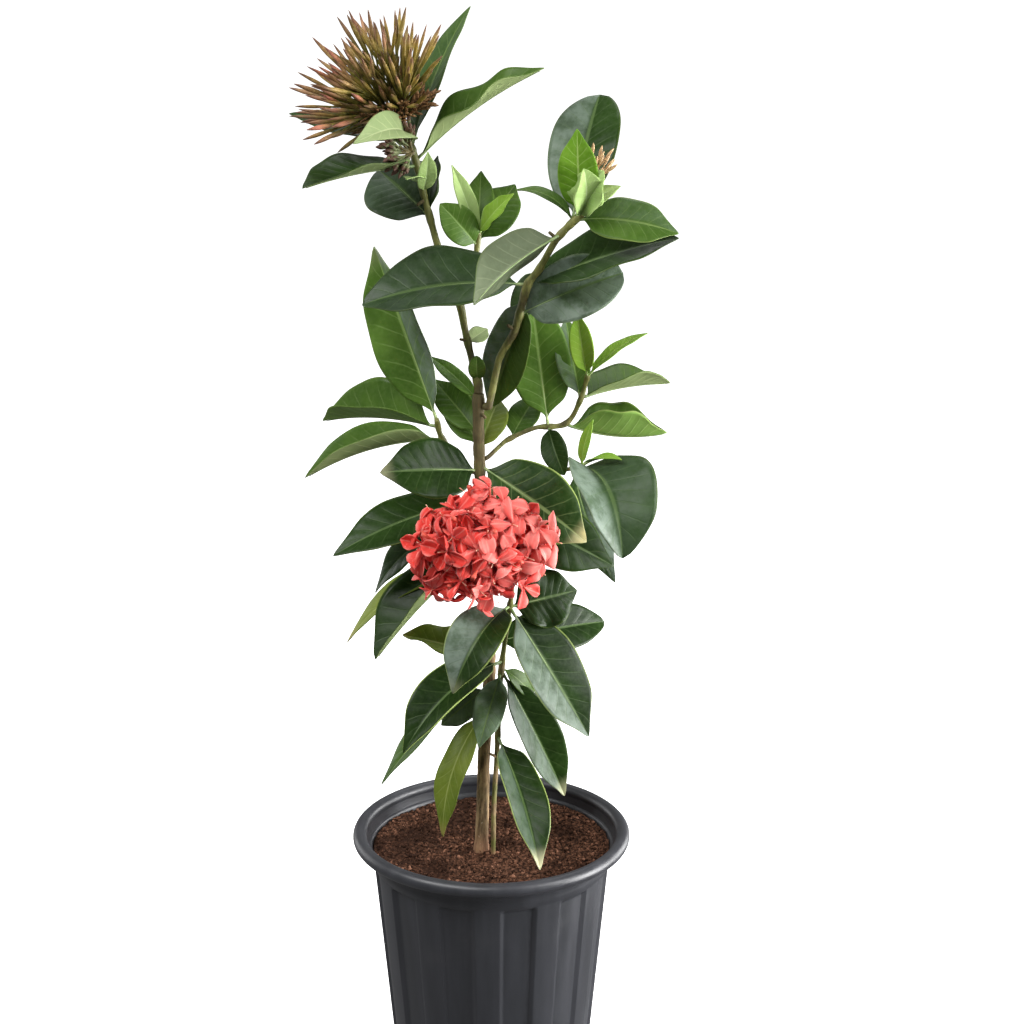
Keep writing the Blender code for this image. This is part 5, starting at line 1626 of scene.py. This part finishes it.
# buds on each stalk, their spread in degrees, length, girth, and how far down the stalk they start
TALL_FAN = (10, 31, 0.048, 0.98, (0.0, 0.30))
INNER_FAN = (11, 42, 0.036, 0.95, (0.20, 0.95))
SHORT_FAN = (12, 44, 0.0105, 0.62, (0.0, 0.45))
RIGHT_FAN = (6, 24, 0.0185, 0.70, (0.0, 0.45))
SIDE_FAN = (11, 30, 0.0150, 1.0, (0.0, 0.7))
INNER_SHADE = 0.35
# a spray's foot and stalks, before they are thinned by the fan's girth
SPRAY_FOOT_RADIUS = 0.0019
SPRAY_FOOT_HEIGHT = 0.003
SPRAY_HUB_HEIGHT = 0.002
SPRAY_STALK_RADII = (0.0013, 0.0010)
# the turn from one bud to the next in radians, and how far single buds stray
BUD_TURN = 2.4
BUD_TURN_STRAY = 0.5
BUD_LENGTHS = (0.76, 1.10)
BUD_GIRTHS = (0.80, 1.12)
BUD_BLUSH_STRAY = 0.35
BUD_RIM_LIGHT = 0.25
SIDE_FOOT = Vector((-0.051, -0.004, 0.680))
SIDE_STALKS = ((-0.15, -0.65, 1.00, 13), (-0.40, -0.65, 0.95, 15), (-0.75, -0.60, 0.75, 15),
               (-0.95, -0.65, 0.40, 14), (-0.95, -0.70, 0.00, 12), (-0.75, -0.80, -0.45, 11),
               (-0.40, -0.85, -0.70, 10))
SHORT_STALKS = (
    (-0.35, -0.95, 0.30, 21), (-0.62, -0.85, 0.30, 26), (-0.88, -0.75, 0.22, 30),
    (0.45, -0.55, 0.40, 15), (0.80, -0.30, 0.50, 20), (0.20, -0.90, 0.30, 16), (0.60, -0.60, 0.65, 22),
    (0.90, -0.35, 0.75, 26), (-0.10, -1.00, 0.15, 14), (0.50, 0.10, 0.70, 22), (0.15, -0.80, 0.60, 22),
)


def bud_spray(name, foot, stalks, fan, seed, blush_range, skin, shade=0.0):
    """Stalks from one foot, each with a fan of buds; blush_range is for right and left."""
    chance = random.Random(seed)
    buds_each, spread, length, thin, start_range = fan
    hub = foot + Vector((0.0, 0.0, SPRAY_HUB_HEIGHT))
    top = foot + Vector((0.0, 0.0, SPRAY_FOOT_HEIGHT))
    base = tube(name + "_foot", [(*end, SPRAY_FOOT_RADIUS * thin) for end in (foot, top)], 8)
    give(base, BUD_STALK_SKIN)
    parts = [base]
    template = bud_template(skin)
    for number, (dx, dy, dz, reach) in enumerate(stalks):
        way = Vector((dx, dy, dz)).normalized()
        end = hub + way * reach * MM
        line = [(*point, radius * thin) for point, radius in zip((hub, end), SPRAY_STALK_RADII)]
        stalk = tube("%s_stalk_%02d" % (name, number), line, 8)
        give(stalk, BUD_STALK_SKIN)
        parts.append(stalk)
        warm = blush_range[0] + (blush_range[1] - blush_range[0]) * (0.5 - 0.5 * way.x)
        for index in range(buds_each):
            share = math.sqrt((index + 0.3) / buds_each)
            turn = index * BUD_TURN + chance.uniform(-BUD_TURN_STRAY, BUD_TURN_STRAY)
            tilt = aim(way) @ Matrix.Rotation(turn, 4, "Z")
            tilt = tilt @ Matrix.Rotation(math.radians(spread) * share, 4, "X")
            size = length * chance.uniform(*BUD_LENGTHS)
            girth = thin * chance.uniform(*BUD_GIRTHS)
            start = end - way * (reach * MM * chance.uniform(*start_range))
            matrix = Matrix.Translation(start) @ tilt @ Matrix.Diagonal((girth, girth, size, 1.0))
            bud = copy_of(template, matrix, "%s_bud_%02d_%02d" % (name, number, index))
            blush = warm + chance.uniform(-BUD_BLUSH_STRAY, BUD_BLUSH_STRAY)
            dim = chance.random() * (1.0 - BUD_RIM_LIGHT * share) + shade
            mark_all(bud, bud_blush=min(max(blush, 0.0), 1.0), bud_dim=min(dim, 1.0))
            parts.append(bud)
    drop(template)
    return join(name, parts)


def stem_top(path):
    x, y, z = path[-1][:3]
    return Vector((x * MM, y * MM, z * MM + STALK_GAP))


head_foot = stem_top(LEFT_LEADER)
tall_buds = bud_spray("tall_buds", head_foot, HEAD_STALKS, TALL_FAN, 7, (-0.15, 0.85), BUD_SKIN)
inner_buds = bud_spray("inner_buds", head_foot, HEAD_STALKS, INNER_FAN, 17, (-0.3, 0.5), BUD_SKIN,
                       INNER_SHADE)
short_buds = bud_spray("short_buds", head_foot, SHORT_STALKS, SHORT_FAN, 8, (0.3, 0.5), DARK_BUD_SKIN)
hand_over(join("bud_head_sprays", [tall_buds, inner_buds, short_buds]), "bud_head")
side_buds = bud_spray("side_buds", SIDE_FOOT, SIDE_STALKS, SIDE_FAN, 12, (0.2, 0.4), STUB_SKIN)
leader = join("left_leader_with_leaves", [leafy["left_leader"], side_buds])
hand_over(leader, "left_leader")
right_buds = bud_spray("right_bud_cluster", stem_top(RIGHT_LEADER), RIGHT_STALKS, RIGHT_FAN, 9, (0.1, 0.5),
                       TAN_BUD_SKIN)
hand_over(right_buds, "bud_cluster_right")

# %% [markdown]
# ## Floor and light
#
# The photograph is a cut-out on white, with soft light from above and no shadow that shows. A plain
# pale floor and a few broad lamps give the same mood, and a soft sky fills the rest.

# %% Floor
FLOOR_SIZE = 400.0

deselect()
bpy.ops.mesh.primitive_plane_add(size=FLOOR_SIZE, location=(0.0, 0.0, 0.0))
floor = bpy.context.object
floor.name = "floor"
floor_skin = new_material("floor_white", (0.86, 0.86, 0.86), 0.9, specular=0.1)
floor_shader = floor_skin.node_tree.nodes["Principled BSDF"]
floor_shader.inputs["Emission Color"].default_value = (1.0, 1.0, 1.0, 1.0)
floor_shader.inputs["Emission Strength"].default_value = 1.0
give(floor, floor_skin)
floor.visible_diffuse = False
floor.visible_glossy = False

# %% Lights
# name, place, width of the disc in metres and power in watts
LAMPS = (
    ("soft_right", (1.5, -0.9, 1.5), 0.9, 27.0),
    ("low_right", (1.4, -0.20, 0.30), 1.0, 56.0),
    ("soft_left", (-1.3, -0.7, 1.9), 0.9, 30.0),
    ("soft_top_back", (0.1, 1.0, 2.3), 1.4, 15.0),
    ("soft_front", (-0.9, -1.9, 2.5), 1.3, 42.0),
    ("edge_right", (1.5, 1.0, 0.35), 1.1, 24.0),
    ("edge_left", (-1.5, 1.0, 0.50), 1.1, 9.0),
)
LAMP_TARGET = Vector((0.0, 0.0, 0.42))
SKY_STRENGTH = 0.26


def add_lamp(name, place, size, power):
    light = bpy.data.lights.new(name, "AREA")
    light.shape = "DISK"
    light.size = size
    light.energy = power
    lamp = bpy.data.objects.new(name, light)
    lamp.location = place
    lamp.rotation_euler = (LAMP_TARGET - Vector(place)).to_track_quat("-Z", "Y").to_euler()
    bpy.context.scene.collection.objects.link(lamp)


for lamp in LAMPS:
    add_lamp(*lamp)
world = bpy.data.worlds.new("soft_sky")
bpy.context.scene.world = world
world.use_nodes = True
sky = world.node_tree.nodes["Background"]
sky.inputs["Color"].default_value = (1.0, 1.0, 1.0, 1.0)
sky.inputs["Strength"].default_value = SKY_STRENGTH
bpy.context.scene.view_settings.view_transform = "Standard"
print("lamps:", len(LAMPS))
